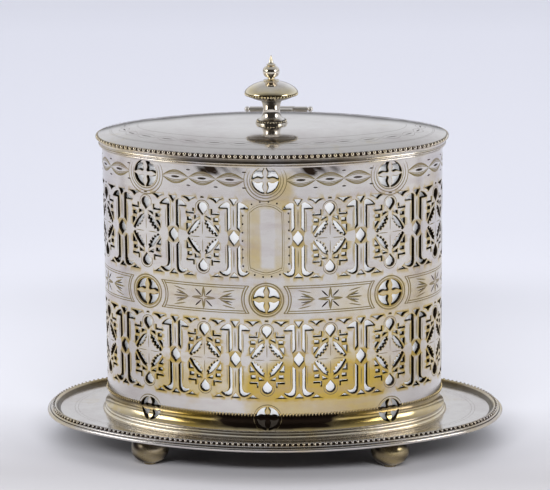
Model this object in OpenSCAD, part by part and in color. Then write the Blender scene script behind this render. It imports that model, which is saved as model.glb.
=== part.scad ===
// Oval silver-plated biscuit box: a pierced wall round a lift-out glass liner, a hinged lid with
// a turned finial, and a beaded tray on four bun feet. Millimetres, +Z up, front towards -Y.
// Every oval is struck from four centres with a 3-4-5 triangle. A ring that follows an oval is
// drawn as a flat outline whose x is the distance outside that oval and whose y is the height.

/* [Body] */
// Half of the length of the body wall, end to end
body_half_len = 88; // [78:0.5:100]
// Half of the depth of the body wall, front to back
body_half_dep = 55; // [50:0.5:62]
// Thickness of the pierced wall sheet
wall_t = 0.9; // [0.6:0.1:1.2]

/* [Heights] */
// Underside of the tray above the table
foot_h = 17.8; // [14:0.2:24]
// Height of the base moulding
base_h = 12; // [11:0.5:16]
// Plain band between the base and the lower pierced row
plain_band_h = 8.4; // [7:0.2:14]
// Height of each pierced row
row_h = 41.2; // [36:0.2:48]
// Engraved band between the two pierced rows
mid_band_h = 21.8; // [18:0.2:28]
// Engraved band above the upper pierced row
top_band_h = 15.8; // [15:0.2:22]

/* [Pierced pattern] */
// Wanted width of one bay, a panel and a pillar
bay_target = 32.7; // [29:0.1:38]
// Width of the slots of a pillar
slot_w = 1.7; // [1.2:0.1:2]
// Distance of a slot from the middle of its pillar
slot_off = 2.45; // [2.2:0.05:2.8]
// Radius of the pierced roundels in the middle and top bands
roundel_r = 6.9; // [5:0.1:7.2]
// Radius of the pierced roundels in the base
base_roundel_r = 5.7; // [4:0.1:6]
// Half width of the cross arms of a roundel
cross_w = 0.6; // [0.4:0.05:0.9]
// How far the top roundels run up under the rim
roundel_cut = 0.5; // [0.2:0.1:1]

/* [Base and floor] */
// How far the lowest step stands outside the wall
base_foot = 1.8; // [1.6:0.1:4]
// How far the hollow of the base is cut inside the wall
scotia_in = 0.9; // [0.5:0.1:1]
// Radius of the hollow of the base
scotia_r = 6.3; // [6.2:0.1:8]
// Height of the stepped foot of the base and of its inner flange
base_step_h = 3; // [2.4:0.1:3.4]
// Width of the flange inside the base, from the wall face
flange_w = 9; // [8.5:0.5:14]
// Height of the spigot inside the foot of the wall
spigot_h = 3; // [2:0.5:4]
// Thickness of the spigot and of the metal behind the hollow
spigot_t = 1.25; // [1:0.05:1.5]
// Thickness of the box floor
floor_t = 1; // [0.8:0.1:2]
// Diameter of the screws that hold the box on the tray
screw_d = 3; // [2.5:0.1:3.4]
// Diameter of the screw heads
screw_head_d = 5.6; // [5:0.1:7]
// Height of the screw heads
screw_head_h = 1.8; // [1.2:0.1:2.4]

/* [Tray] */
// Half of the length of the tray
tray_half_len = 120.3; // [112:0.1:135]
// Half of the depth of the tray
tray_half_dep = 75.8; // [72:0.1:90]
// Thickness of the tray sheet
tray_t = 1.2; // [0.8:0.1:2]
// Width of the moulded tray border
border_w = 7; // [6.5:0.1:10]
// Height of the border above the well of the tray
border_h = 2; // [1.4:0.1:3]
// Radius of the rolled lip at the edge
lip_r = 1.2; // [1:0.1:1.4]
// Distance of the bead row from the edge of the tray
tray_bead_in = 3.2; // [3:0.1:4]
// Radius of the beads on the tray
tray_bead_r = 1.1; // [0.8:0.1:1.3]

/* [Feet] */
// Distance of the feet from the middle, along the tray
foot_x = 62; // [54:0.5:66]
// Distance of the feet from the middle, across the tray
foot_y = 40; // [34:0.5:44]
// Diameter of a bun foot
foot_d = 19.7; // [16:0.1:24]
// Height of the widest part of a foot
foot_belly_z = 10; // [8:0.1:12]
// Diameter of the flat that a foot stands on
foot_flat_d = 9; // [7:0.5:12]
// Diameter of the stem riveted through the tray
foot_stem_d = 4; // [3:0.1:5]

/* [Rim and lid] */
// Height of the rim wire on top of the wall
rim_h = 1.3; // [1:0.1:1.8]
// How far the rim wire stands outside the wall
rim_out = 0.5; // [0.3:0.1:0.9]
// Radius of the rounded face of the rim wire
rim_r = 1; // [1:0.1:1.6]
// Gap between the rim and the closed lid
lid_gap = 0.4; // [0.3:0.1:0.8]
// How far the lid reaches outside the wall
lid_reach = 3; // [2.6:0.1:4]
// Height of the moulded edge under the lid plate
lid_edge_h = 3.9; // [3.6:0.1:5]
// Height of the fillet below the lid beads
lid_fillet_h = 1.3; // [1:0.1:1.4]
// Radius of the beads round the lid
lid_bead_r = 1.1; // [0.8:0.1:1.2]
// Thickness of the lid plate
lid_t = 1; // [0.8:0.1:1.4]
// Rise of the lid from its edge to its middle
lid_rise = 5.6; // [4:0.2:9]
// Depth of the bezel below the edge of the lid
bezel_h = 3.6; // [2.5:0.1:4]
// Thickness of the bezel
bezel_t = 0.8; // [0.6:0.1:1.2]
// Room between the bezel and the inside of the wall
bezel_clear = 0.6; // [0.5:0.1:1]

/* [Hinge] */
// Distance of the hinge axis behind the edge of the lid
hinge_back = 2.6; // [2.4:0.1:4]
// Height of the hinge axis above the top edge of the lid
hinge_up = 1.2; // [1:0.1:2]
// Diameter of the middle knuckle
knuckle_d = 3.2; // [3:0.1:3.8]
// Diameter of the outer knuckles
outer_knuckle_d = 2.8; // [2.6:0.1:3.4]
// Length of the middle knuckle
knuckle_l = 17.2; // [12:0.2:24]
// Length of each outer knuckle
outer_knuckle_l = 6.6; // [5:0.2:12]
// Room between neighbouring knuckles
knuckle_gap = 0.2; // [0.1:0.05:0.5]
// Diameter of the hinge pin
pin_d = 1.5; // [1.2:0.1:1.8]
// Diameter of the balls at the ends of the pin
pin_ball_d = 3; // [2.4:0.1:4]
// Height of the hinge plate soldered to the wall
strap_h = 9; // [6:0.5:12]
// Length of the hinge plate soldered on the lid
lid_strap_l = 9; // [6:0.5:14]
// Thickness of the hinge plates
strap_t = 1; // [0.8:0.1:1.4]

/* [Finial] */
// Diameter of the beaded foot of the finial
fin_foot_d = 16.6; // [15:0.2:20]
// Height of the foot and waist of the finial
fin_waist_h = 12; // [10:0.2:14]
// Diameter of the waist of the finial
fin_waist_d = 8.6; // [7:0.2:9.6]
// Radius of the hollow that forms the waist
fin_hollow_r = 6; // [5.6:0.1:7]
// Diameter of the cap of the finial
fin_cap_d = 28; // [24:0.2:34]
// Height of the cap of the finial
fin_cap_h = 9.8; // [8:0.2:12]
// Height of the rim of the cap
fin_rim_h = 2.8; // [2:0.2:3.6]
// Diameter of the collar on the cap
fin_collar_d = 8.2; // [7:0.2:10]
// Diameter of the neck under the ball
fin_neck_d = 4; // [3.6:0.2:5]
// Height from the cap to the middle of the ball
fin_ball_up = 5; // [4.6:0.2:7]
// Diameter of the ball of the finial
fin_ball_d = 8.8; // [7:0.2:9]
// Height of the tip above the middle of the ball
fin_tip_up = 8.4; // [7:0.2:12]
// Diameter of the foot of the spire on the ball
fin_spire_d = 4.4; // [3.6:0.2:5]
// Diameter of the stud that holds the finial
stud_d = 2.4; // [2:0.1:2.6]
// Diameter of the washer under the lid
washer_d = 9; // [8:0.5:14]
// Thickness of the washer
washer_t = 0.8; // [0.6:0.1:1.2]
// Height of the nut under the lid
nut_h = 2.2; // [1.8:0.1:3]
// Width across the corners of the nut
nut_d = 6; // [5:0.1:7]

/* [Liner] */
// Gap between the liner and the inside of the wall
liner_gap = 2; // [1.8:0.1:3.5]
// Thickness of the wall of the liner
liner_t = 3.4; // [2.5:0.1:5]
// Thickness of the bottom of the liner
liner_floor_t = 4.5; // [3:0.5:8]
// How far the top of the liner lies below the top of the wall
liner_drop = 4.6; // [4.6:0.1:12]

/* [Hidden] */
$fn = 96;

// Fits of faces that are soldered, of threads and of the hinge pin
solder_gap = 0.05;
thread_gap = 0.05;
pin_gap = 0.05;
// Length that a cutting tool runs past what it cuts
past = 1;

// The 3-4-5 oval: end centres at (+-c, 0), side centres at (0, -+d), radii r1 and r2
function oval_c(o) = 1.5 * (o[0] - o[1]);
function oval_d(o) = 2 * (o[0] - o[1]);
function oval_r1(o) = o[0] - oval_c(o);
function oval_r2(o) = oval_r1(o) + 2.5 * (o[0] - o[1]);
body = [body_half_len, body_half_dep];
tray = [tray_half_len, tray_half_dep];
end_c = oval_c(body);
end_r = oval_r1(body);
side_d = oval_d(body);
side_r = oval_r2(body);

// Lengths along the wall: half of a side arc, a whole end arc and once round
joint_a = atan2(4, 3);
side_len = side_r * (90 - joint_a) * PI / 180;
end_len = end_r * 2 * joint_a * PI / 180;
perimeter = 4 * side_len + 2 * end_len;
bays = 2 * round(perimeter / (2 * bay_target));
bay = perimeter / bays;

// Levels, from the table up
tray_z = foot_h + tray_t;
floor_z = tray_z + base_step_h;
liner_z = floor_z + floor_t;
wall_z = tray_z + base_h;
row_low_z = wall_z + plain_band_h + row_h / 2;
mid_z = row_low_z + row_h / 2 + mid_band_h / 2;
row_top_z = mid_z + mid_band_h / 2 + row_h / 2;
wall_top = row_top_z + row_h / 2 + top_band_h;
rim_top = wall_top + rim_h;
lid_z = rim_top + lid_gap;
lid_plate_z = lid_z + lid_edge_h;
lid_edge_z = lid_plate_z + lid_t;
lid_top = lid_edge_z + lid_rise;
ledge_z = floor_z + base_step_h / 5;
base_roundel_z = ledge_z + base_step_h / 4 + base_roundel_r;
top_roundel_z = wall_top + roundel_cut - roundel_r;
liner_top = wall_top - liner_drop;

// The dome of the lid: an arc that levels off over the end centres
dome_run = end_r + lid_reach;
dome_r = round(50 * (dome_run * dome_run / lid_rise + lid_rise)) / 100;
dome_z = lid_top - dome_r;

// Faces measured outside the wall line
wall_in = -wall_t;
spigot_out = wall_in - solder_gap;
spigot_in = spigot_out - spigot_t;
floor_edge = spigot_in - 3 * solder_gap;
bezel_out = wall_in - bezel_clear;
bezel_in = bezel_out - bezel_t;
liner_out = wall_in - liner_gap;
liner_in = liner_out - liner_t;

// Depth of the groove in the base step, and how many straight cuts make the hollow
step_in = 0.4;
hollow_cuts = 6;

// The hinge axis and the ends of its knuckles
hinge_y = body_half_dep + lid_reach + hinge_back;
hinge_z = lid_edge_z + hinge_up;
outer_knuckle_x = knuckle_l / 2 + knuckle_gap;
pin_half_l = outer_knuckle_x + outer_knuckle_l + knuckle_gap;

// Levels of the finial
cap_z = lid_top + fin_waist_h;
collar_z = cap_z + fin_cap_h;
ball_z = collar_z + fin_ball_up;
tip_z = ball_z + fin_tip_up;
stud_top = ball_z + 1;
fin_disc_h = fin_waist_h / 5;
fin_shank = fin_waist_d / 2 + fin_hollow_r / 4;
washer_z = lid_top - lid_t - washer_t;
nut_z = washer_z - nut_h;

// Sizes that the panel was drawn at, and how it stretches to fill a bay and a row
drawn_w = 32.7;
drawn_h = 41.2;
fit_u = bay / drawn_w;
fit_v = row_h / drawn_h;
cut_depth = 2 * (wall_t + spigot_t + base_foot);

// Openings of a quarter of a panel, as (along the wall, up) from the middle of the panel
leaf_opening = [[1.3, 9.3], [3.7, 7.6], [5.7, 5], [8, 1.4], [5, 2.5], [2.6, 4.2], [1.4, 6.4]];
side_opening = [[8.8, 6.8], [6, 6.6], [8.7, 2.6]];
cross_opening = [[1.3, 10.9], [4.5, 12], [4.5, 9.2]];
// The drop above and below them: radius of its head, level of the head and of the tip
drop_r = 2.6;
drop_v = 15.2;
drop_tip_v = 11.5;
// The diamond of a pillar, and the turned-out ends of its slots
diamond_u = 2.6;
diamond_v = 4;
serif_w = 2.6;
serif_h = 2.2;
slot_end = 2.4;

// Angle of the outward normal at a distance along the wall from the middle of the front
function wall_angle(s) =
    let (t = s - floor(s / perimeter) * perimeter, deg = 180 / PI)
    t < side_len ? -90 + deg * t / side_r
    : t < side_len + end_len ? -joint_a + deg * (t - side_len) / end_r
    : t < 3 * side_len + end_len ? joint_a + deg * (t - side_len - end_len) / side_r
    : t < 3 * side_len + 2 * end_len ? 180 - joint_a + deg * (t - 3 * side_len - end_len) / end_r
    : 180 + joint_a + deg * (t - 3 * side_len - 2 * end_len) / side_r;

// Point of the wall face at that distance
function wall_point(s) =
    let (t = s - floor(s / perimeter) * perimeter, a = wall_angle(s), dir = [cos(a), sin(a)])
    t < side_len || t >= 3 * side_len + 2 * end_len ? [0, side_d] + side_r * dir
    : t < side_len + end_len ? [end_c, 0] + end_r * dir
    : t < 3 * side_len + end_len ? [0, -side_d] + side_r * dir
    : [-end_c, 0] + end_r * dir;

function mean(list) = list * [for (x = list) 1] / len(list);

// The parts of the plan that belong to the end circle on the +X side and the side circle on +Y
module end_sector(o) {
    c = oval_c(o);
    far = 2 * o[0];
    polygon([[c, 0], [c + 0.6 * far, -0.8 * far], [c + 2 * far, 0], [c + 0.6 * far, 0.8 * far]]);
}

module side_sector(o) {
    c = oval_c(o);
    far = 2 * o[0];
    polygon([[-c, 0], [c, 0], [c + 0.6 * far, 0.8 * far], [-c - 0.6 * far, 0.8 * far]]);
}

// Carries a flat outline round an oval. Pegs of a width, at a distance outside the oval and a
// height within the outline, run across the four joints between the arcs.
module oval_ring(o, peg_x, peg_z, peg_w) {
    reach = oval_r1(o) + peg_x;
    for (turn = [0, 180]) rotate(turn) {
        intersection() {
            translate([oval_c(o), 0, 0]) rotate_extrude() translate([oval_r1(o), 0]) children();
            linear_extrude(height = tip_z) end_sector(o);
        }
        intersection() {
            translate([0, -oval_d(o), 0]) rotate_extrude() translate([oval_r2(o), 0]) children();
            linear_extrude(height = tip_z) side_sector(o);
        }
        for (side = [-1, 1])
            translate([oval_c(o) + 0.6 * reach, side * 0.8 * reach, peg_z]) cube(peg_w, center = true);
    }
}

// A flat oval plate whose edge stands outside the oval by reach
module oval_plate(o, reach, low, high) {
    translate([0, 0, low]) linear_extrude(height = high - low) for (turn = [0, 180]) rotate(turn) {
        intersection() {
            translate([oval_c(o), 0]) circle(r = oval_r1(o) + reach);
            end_sector(o);
        }
        intersection() {
            translate([0, -oval_d(o)]) circle(r = oval_r2(o) + reach);
            side_sector(o);
        }
    }
}

// One opening in the wall, as points round a middle at s, facing its own place on the oval
module opening(s, z, points) {
    u = mean([for (p = points) p[0]]);
    place = wall_point(s + u);
    translate([place[0], place[1], z]) rotate(wall_angle(s + u)) rotate([90, 0, 90])
        linear_extrude(height = cut_depth, center = true)
            polygon([for (p = points) [p[0] - u, p[1]]]);
}

// The same opening in all four quarters round a middle
module quarters(s, z, points) {
    for (mu = [-1, 1], mv = [-1, 1])
        opening(s, z, [for (p = points) [mu * p[0], mv * p[1]]]);
}

function stretched(points) = [for (p = points) [p[0] * fit_u, p[1] * fit_v]];

// Openings of a panel: leaves round a holly star, a lattice at the sides, a drop above and below
module panel(s, z) {
    quarters(s, z, stretched(leaf_opening));
    quarters(s, z, stretched(side_opening));
    quarters(s, z, stretched(cross_opening));
    for (mv = [-1, 1])
        opening(s, z, [
            [0, mv * drop_tip_v * fit_v],
            for (a = [-20:44:200]) [drop_r * cos(a), mv * (drop_v * fit_v + drop_r * sin(a))]
        ]);
}

// Openings of a pillar: slots with turned-out ends above and below a diamond
module pillar(s, z) {
    inner = slot_off - slot_w / 2;
    outer = slot_off + slot_w / 2;
    end = row_h / 2 - slot_end;
    quarters(s, z, [
        [inner, diamond_v + slot_w], [outer, diamond_v], [outer, end - serif_h],
        [outer + serif_w, end - serif_h], [outer + serif_w * 0.7, end - serif_h * 0.2],
        [outer, end], [inner, end]
    ]);
    opening(s, z, [
        [0, diamond_v], [-diamond_u, diamond_v / 3], [-diamond_u, -diamond_v / 3],
        [0, -diamond_v], [diamond_u, -diamond_v / 3], [diamond_u, diamond_v / 3]
    ]);
}

// A roundel: four openings round a cross with leaf-shaped arms
module roundel(s, z, r) {
    edge = asin(cross_w / r);
    quarters(s, z, [
        [1.6 * cross_w, 1.6 * cross_w], [0.55 * r, 2.1 * cross_w],
        for (i = [0:4]) let (a = edge + (90 - 2 * edge) * i / 4) [r * cos(a), r * sin(a)],
        [2.1 * cross_w, 0.55 * r]
    ]);
}

module base_roundels() {
    for (i = [0:2:bays - 1])
        roundel(i * bay, base_roundel_z, base_roundel_r);
}

// Places of the four screws under the flange: at both ends and in the middle of both sides
screw_in = flange_w - screw_head_d / 2;
end_screw_x = body_half_len - screw_in;
side_screw_y = body_half_dep - screw_in;

module screw_holes() {
    for (side = [-1, 1]) {
        translate([side * end_screw_x, 0, 0]) cylinder(d = screw_d + 2 * thread_gap, h = floor_z + past);
        translate([0, side * side_screw_y, 0]) cylinder(d = screw_d + 2 * thread_gap, h = floor_z + past);
    }
}

// Flat sheet of the tray, drilled for the feet and the screws
module tray_plate() {
    color("silver") difference() {
        oval_plate(tray, -lip_r - solder_gap, foot_h, tray_z);
        for (x = [-foot_x, foot_x], y = [-foot_y, foot_y])
            translate([x, y, 0]) cylinder(d = foot_stem_d + 2 * solder_gap, h = tray_z + past);
        screw_holes();
    }
}

// Moulded border soldered on the sheet: a slope up from the well, a bead seat and a rolled lip
module tray_border() {
    seat_half = tray_bead_r + 2 * solder_gap;
    seat_z = tray_z + border_h;
    color("silver") oval_ring(tray, -tray_bead_in, tray_z + border_h / 2, border_h / 2) union() {
        polygon([
            [-border_w, tray_z], [-tray_bead_in - seat_half, seat_z],
            [-tray_bead_in + seat_half, seat_z], [-lip_r / 2, tray_z], [-lip_r, foot_h],
            [-lip_r, tray_z]
        ]);
        intersection() {
            translate([-lip_r, foot_h + tray_t / 2]) circle(r = lip_r);
            translate([-lip_r, 0]) square([2 * lip_r, tray_z + lip_r]);
        }
    }
}

// Bead wire soldered on the seat of the border
module tray_beads() {
    seat_z = tray_z + border_h;
    peg = tray_bead_r / 2;
    color("silver") oval_ring(tray, -tray_bead_in, seat_z + peg, peg) intersection() {
        translate([-tray_bead_in, seat_z]) circle(r = tray_bead_r);
        translate([-tray_bead_in - border_w, seat_z]) square([2 * border_w, 2 * tray_bead_r]);
    }
}

// Turned bun foot: a ball cut off by the tray, on a flat pad, with a stem riveted through the tray
module bun_foot(x, y) {
    color("silver") translate([x, y, 0]) {
        rotate_extrude() intersection() {
            union() {
                translate([0, foot_belly_z]) circle(d = foot_d);
                square([foot_flat_d / 2, foot_belly_z]);
            }
            square([foot_d, foot_h]);
        }
        translate([0, 0, foot_belly_z]) cylinder(d = foot_stem_d, h = tray_z - foot_belly_z);
    }
}

module foot_front_left() { bun_foot(-foot_x, -foot_y); }
module foot_front_right() { bun_foot(foot_x, -foot_y); }
module foot_rear_left() { bun_foot(-foot_x, foot_y); }
module foot_rear_right() { bun_foot(foot_x, foot_y); }

// Base moulding: stepped foot, hollow, a spigot inside the wall and a flange under the floor
module base_moulding() {
    step = base_foot - step_in;
    hollow_x = scotia_r - scotia_in;
    top_a = acos(hollow_x / scotia_r);
    low_a = acos((hollow_x - step) / scotia_r);
    hollow_z = wall_z - scotia_r * sin(top_a);
    color("silver") difference() {
        oval_ring(body, spigot_in, tray_z + base_step_h / 2, base_step_h / 2) polygon([
            [-flange_w, tray_z], [base_foot, tray_z], [base_foot, tray_z + base_step_h / 4],
            [step, tray_z + base_step_h / 3], [base_foot, tray_z + base_step_h / 2],
            [base_foot, floor_z], [step, ledge_z],
            for (i = [0:hollow_cuts]) let (a = (top_a + low_a) * i / hollow_cuts - low_a)
                [hollow_x - scotia_r * cos(a), hollow_z + scotia_r * sin(a)],
            [spigot_out, wall_z], [spigot_out, wall_z + spigot_h],
            [spigot_in, wall_z + spigot_h], [spigot_in, floor_z], [-flange_w, floor_z]
        ]);
        screw_holes();
        base_roundels();
    }
}

// Floor of the box, lying on the flange under the liner
module body_floor() {
    color("gainsboro") oval_plate(body, floor_edge, floor_z, liner_z);
}

// Screw from under the tray into the flange of the base
module screw(x, y) {
    color("gray") translate([x, y, 0]) {
        translate([0, 0, foot_h - screw_head_h]) cylinder(d = screw_head_d, h = screw_head_h);
        translate([0, 0, foot_h - past])
            cylinder(d = screw_d, h = floor_z - foot_h + past - 2 * solder_gap);
    }
}

module base_screw_left() { screw(-end_screw_x, 0); }
module base_screw_right() { screw(end_screw_x, 0); }
module base_screw_front() { screw(0, -side_screw_y); }
module base_screw_rear() { screw(0, side_screw_y); }

// Pierced wall: two rows of panels and pillars, roundels in the bands, a blank plaque in front
module body_wall() {
    color("silver") difference() {
        oval_plate(body, 0, wall_z, wall_top);
        oval_plate(body, wall_in, wall_z - past, wall_top + past);
        for (i = [0:bays - 1], z = [row_low_z, row_top_z]) {
            pillar((i + 0.5) * bay, z);
            if (i > 0 || z < mid_z) panel(i * bay, z);
        }
        for (i = [0:2:bays - 1], z = [mid_z, top_roundel_z])
            roundel(i * bay, z, roundel_r);
        base_roundels();
    }
}

// Wire with a rounded face that stiffens the top edge of the wall
module rim_wire() {
    color("silver") oval_ring(body, wall_in / 2, wall_top + rim_h / 2, wall_t / 2) intersection() {
        translate([wall_in, wall_top]) square([wall_t + rim_out, rim_h]);
        translate([rim_out - rim_r, wall_top + rim_h / 2]) circle(r = rim_r);
    }
}

// Glass pot that holds the biscuits; it stands on the floor and lifts out
module liner() {
    color("aliceblue") difference() {
        oval_plate(body, liner_out, liner_z, liner_top);
        oval_plate(body, liner_in, liner_z + liner_floor_t, liner_top + past);
    }
}

// Everything under the upper face of the lid raised by lift, out to a reach, as a ring outline
module under_dome(lift, reach, low) {
    intersection() {
        translate([-end_r, dome_z]) circle(r = dome_r + lift, $fn = 720);
        translate([-end_r, low]) square([end_r + reach, lid_top + lid_rise - low]);
    }
}

// Level middle of the lid plate, of a thickness, reaching past its own edge by grow
module level_middle(grow, thick) {
    intersection_for(side = [-1, 1])
        translate([0, side * side_d, lid_top - (lid_t + thick) / 2])
            cylinder(r = side_r - end_r + grow, h = thick);
}

// Domed plate of the lid, its level middle tied to the dome by a thinner plate inside both
module lid_plate() {
    color("silver") difference() {
        union() {
            oval_ring(body, past - end_r, lid_top - lid_t / 2, lid_t / 2) difference() {
                under_dome(0, lid_reach, lid_plate_z - lid_t);
                under_dome(-lid_t, lid_reach + past, lid_plate_z - 2 * lid_t);
            }
            level_middle(0, lid_t);
            level_middle(past, lid_t / 2);
        }
        translate([0, 0, lid_z]) cylinder(d = stud_d + 2 * thread_gap, h = lid_top - lid_z + past);
    }
}

// Moulded edge soldered under the plate: a fillet below a seat for the beads
module lid_border() {
    seat = lid_reach - 1.5 * lid_bead_r;
    fillet = 0.4;
    color("silver") oval_ring(body, 0, lid_z + lid_fillet_h, lid_fillet_h / 2) intersection() {
        under_dome(-lid_t, lid_reach, lid_z);
        polygon([
            [bezel_out + solder_gap, lid_z], [seat + fillet, lid_z],
            [seat + fillet, lid_z + lid_fillet_h - fillet], [seat, lid_z + lid_fillet_h],
            [seat, lid_top], [bezel_out + solder_gap, lid_top]
        ]);
    }
}

// Bead wire round the edge of the lid
module lid_beads() {
    seat = lid_reach - 1.5 * lid_bead_r;
    wire_x = lid_reach - lid_bead_r;
    wire_z = lid_z + lid_fillet_h + lid_bead_r;
    color("silver") oval_ring(body, wire_x, wire_z, lid_bead_r / 2) intersection() {
        translate([wire_x, wire_z]) circle(r = lid_bead_r);
        translate([seat, lid_z]) square([2 * lid_bead_r, lid_edge_h]);
    }
}

// Bezel under the lid that guides it into the mouth of the box
module lid_bezel() {
    color("silver") oval_ring(body, bezel_out - bezel_t / 2, lid_z, bezel_t / 2) intersection() {
        under_dome(-lid_t, lid_reach, lid_z - bezel_h);
        translate([bezel_in, lid_z - bezel_h]) square([bezel_t, lid_top]);
    }
}

// Half of the hinge on the box: a plate on the wall and two arms that carry the outer knuckles
module hinge_body_leaf() {
    top = wall_top - rim_h / 2;
    arm_half = outer_knuckle_d / 2;
    half_w = outer_knuckle_x + outer_knuckle_l;
    color("silver") difference() {
        union() {
            intersection() {
                translate([0, -side_d, top - strap_h]) cylinder(r = side_r + strap_t, h = strap_h);
                translate([-half_w, 0, 0]) cube([2 * half_w, hinge_y, top]);
            }
            for (side = [0, 1]) mirror([side, 0, 0]) translate([outer_knuckle_x, 0, 0])
                rotate([90, 0, 90]) {
                    linear_extrude(height = outer_knuckle_l) polygon([
                        [0, top - strap_h], [body_half_dep, top - strap_h],
                        [hinge_y + arm_half, top - strap_h / 2],
                        [hinge_y + arm_half, hinge_z], [hinge_y - arm_half, hinge_z],
                        [hinge_y - arm_half, top], [0, top]
                    ]);
                    translate([hinge_y, hinge_z]) cylinder(d = outer_knuckle_d, h = outer_knuckle_l);
                }
        }
        translate([0, -side_d, 0]) cylinder(r = side_r + solder_gap, h = tip_z);
        translate([-half_w - past, hinge_y, hinge_z]) rotate([0, 90, 0])
            cylinder(d = pin_d + pin_gap, h = 2 * (half_w + past));
    }
}

// Hinge pin with a ball on each end
module hinge_pin() {
    color("gainsboro") translate([0, hinge_y, hinge_z]) {
        translate([-pin_half_l, 0, 0]) rotate([0, 90, 0]) cylinder(d = pin_d, h = 2 * pin_half_l);
        for (side = [-1, 1])
            translate([side * (pin_half_l + pin_ball_d / 2 - knuckle_gap / 2), 0, 0])
                sphere(d = pin_ball_d);
    }
}

// Half of the hinge on the lid: a plate bent over the back of the dome and the middle knuckle
module hinge_lid_leaf() {
    half_w = knuckle_l / 2 - 1;
    web_half = knuckle_d / 4;
    back = body_half_dep + lid_reach;
    color("silver") difference() {
        union() {
            intersection() {
                translate([0, -side_d, 0]) rotate_extrude() translate([side_r, 0])
                    under_dome(solder_gap + strap_t, lid_reach, lid_plate_z);
                translate([-half_w, back - lid_strap_l, 0]) cube([2 * half_w, lid_strap_l, tip_z]);
            }
            translate([-half_w, back - lid_strap_l / 2, hinge_z - web_half])
                cube([2 * half_w, hinge_y - back + lid_strap_l / 2, 2 * web_half]);
            translate([-knuckle_l / 2, hinge_y, hinge_z]) rotate([0, 90, 0])
                cylinder(d = knuckle_d, h = knuckle_l);
        }
        translate([0, -side_d, 0]) rotate_extrude() translate([side_r, 0])
            under_dome(solder_gap, lid_reach + solder_gap, 0);
        translate([-knuckle_l / 2 - past, hinge_y, hinge_z]) rotate([0, 90, 0])
            cylinder(d = pin_d + 2 * pin_gap, h = knuckle_l + 2 * past);
    }
}

// Clearance hole for the stud of the finial
module stud_bore(low, high) {
    translate([0, 0, low]) cylinder(d = stud_d + 2 * thread_gap, h = high - low);
}

// Foot and waist of the finial, turned
module finial_foot() {
    color("silver") difference() {
        rotate_extrude() difference() {
            translate([0, lid_top]) square([fin_foot_d / 2, fin_waist_h]);
            translate([fin_waist_d / 2 + fin_hollow_r, cap_z - 0.8 * fin_hollow_r])
                circle(r = fin_hollow_r);
            translate([fin_shank, lid_top + fin_disc_h]) square([fin_foot_d, fin_waist_h]);
        }
        stud_bore(lid_top - past, cap_z + past);
    }
}

// Mushroom cap of the finial
module finial_cap() {
    rim = fin_cap_d / 2;
    collar = fin_collar_d / 2;
    rise = fin_cap_h - fin_rim_h;
    drop = (rim * rim - collar * collar - rise * rise) / (2 * rise);
    crown_r = sqrt(rim * rim + drop * drop);
    color("silver") difference() {
        rotate_extrude() intersection() {
            translate([0, cap_z + fin_rim_h - drop]) circle(r = crown_r);
            polygon([
                [0, cap_z], [fin_shank, cap_z], [rim - 1, cap_z + fin_rim_h / 3],
                [rim, cap_z + fin_rim_h], [rim, collar_z], [0, collar_z]
            ]);
        }
        stud_bore(cap_z - past, collar_z + past);
    }
}

// Collar, ball and spire of the finial, screwed on the end of the stud
module finial_tip() {
    ball = fin_ball_d / 2;
    neck_z = ball_z - ball * 0.8;
    color("silver") difference() {
        rotate_extrude() union() {
            polygon([
                [0, collar_z], [fin_collar_d / 2, collar_z], [fin_neck_d / 2, neck_z],
                [fin_neck_d / 2, ball_z], [fin_spire_d / 2, ball_z], [fin_spire_d / 2, ball_z + ball * 0.8],
                [fin_spire_d / 8, tip_z], [0, tip_z]
            ]);
            intersection() {
                translate([0, ball_z]) circle(r = ball);
                translate([0, collar_z]) square([ball, 2 * fin_ball_d]);
            }
        }
        stud_bore(collar_z - past, stud_top + 0.2);
    }
}

module finial_stud() {
    color("gray") translate([0, 0, nut_z - past]) cylinder(d = stud_d, h = stud_top - nut_z + past);
}

module finial_washer() {
    color("gainsboro") difference() {
        translate([0, 0, washer_z]) cylinder(d = washer_d, h = washer_t);
        stud_bore(washer_z - past, washer_z + washer_t + past);
    }
}

module finial_nut() {
    color("gainsboro") difference() {
        translate([0, 0, nut_z]) cylinder(d = nut_d, h = nut_h, $fn = 6);
        stud_bore(nut_z - past, nut_z + nut_h + past);
    }
}

tray_plate();
tray_border();
tray_beads();
foot_front_left();
foot_front_right();
foot_rear_left();
foot_rear_right();
base_moulding();
body_floor();
base_screw_left();
base_screw_right();
base_screw_front();
base_screw_rear();
body_wall();
rim_wire();
hinge_body_leaf();
hinge_pin();
liner();
lid_plate();
lid_border();
lid_beads();
lid_bezel();
hinge_lid_leaf();
finial_foot();
finial_cap();
finial_tip();
finial_stud();
finial_washer();
finial_nut();
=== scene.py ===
import math

import bmesh
import bpy
import numpy as np
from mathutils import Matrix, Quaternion, Vector
from mathutils.geometry import delaunay_2d_cdt


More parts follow.
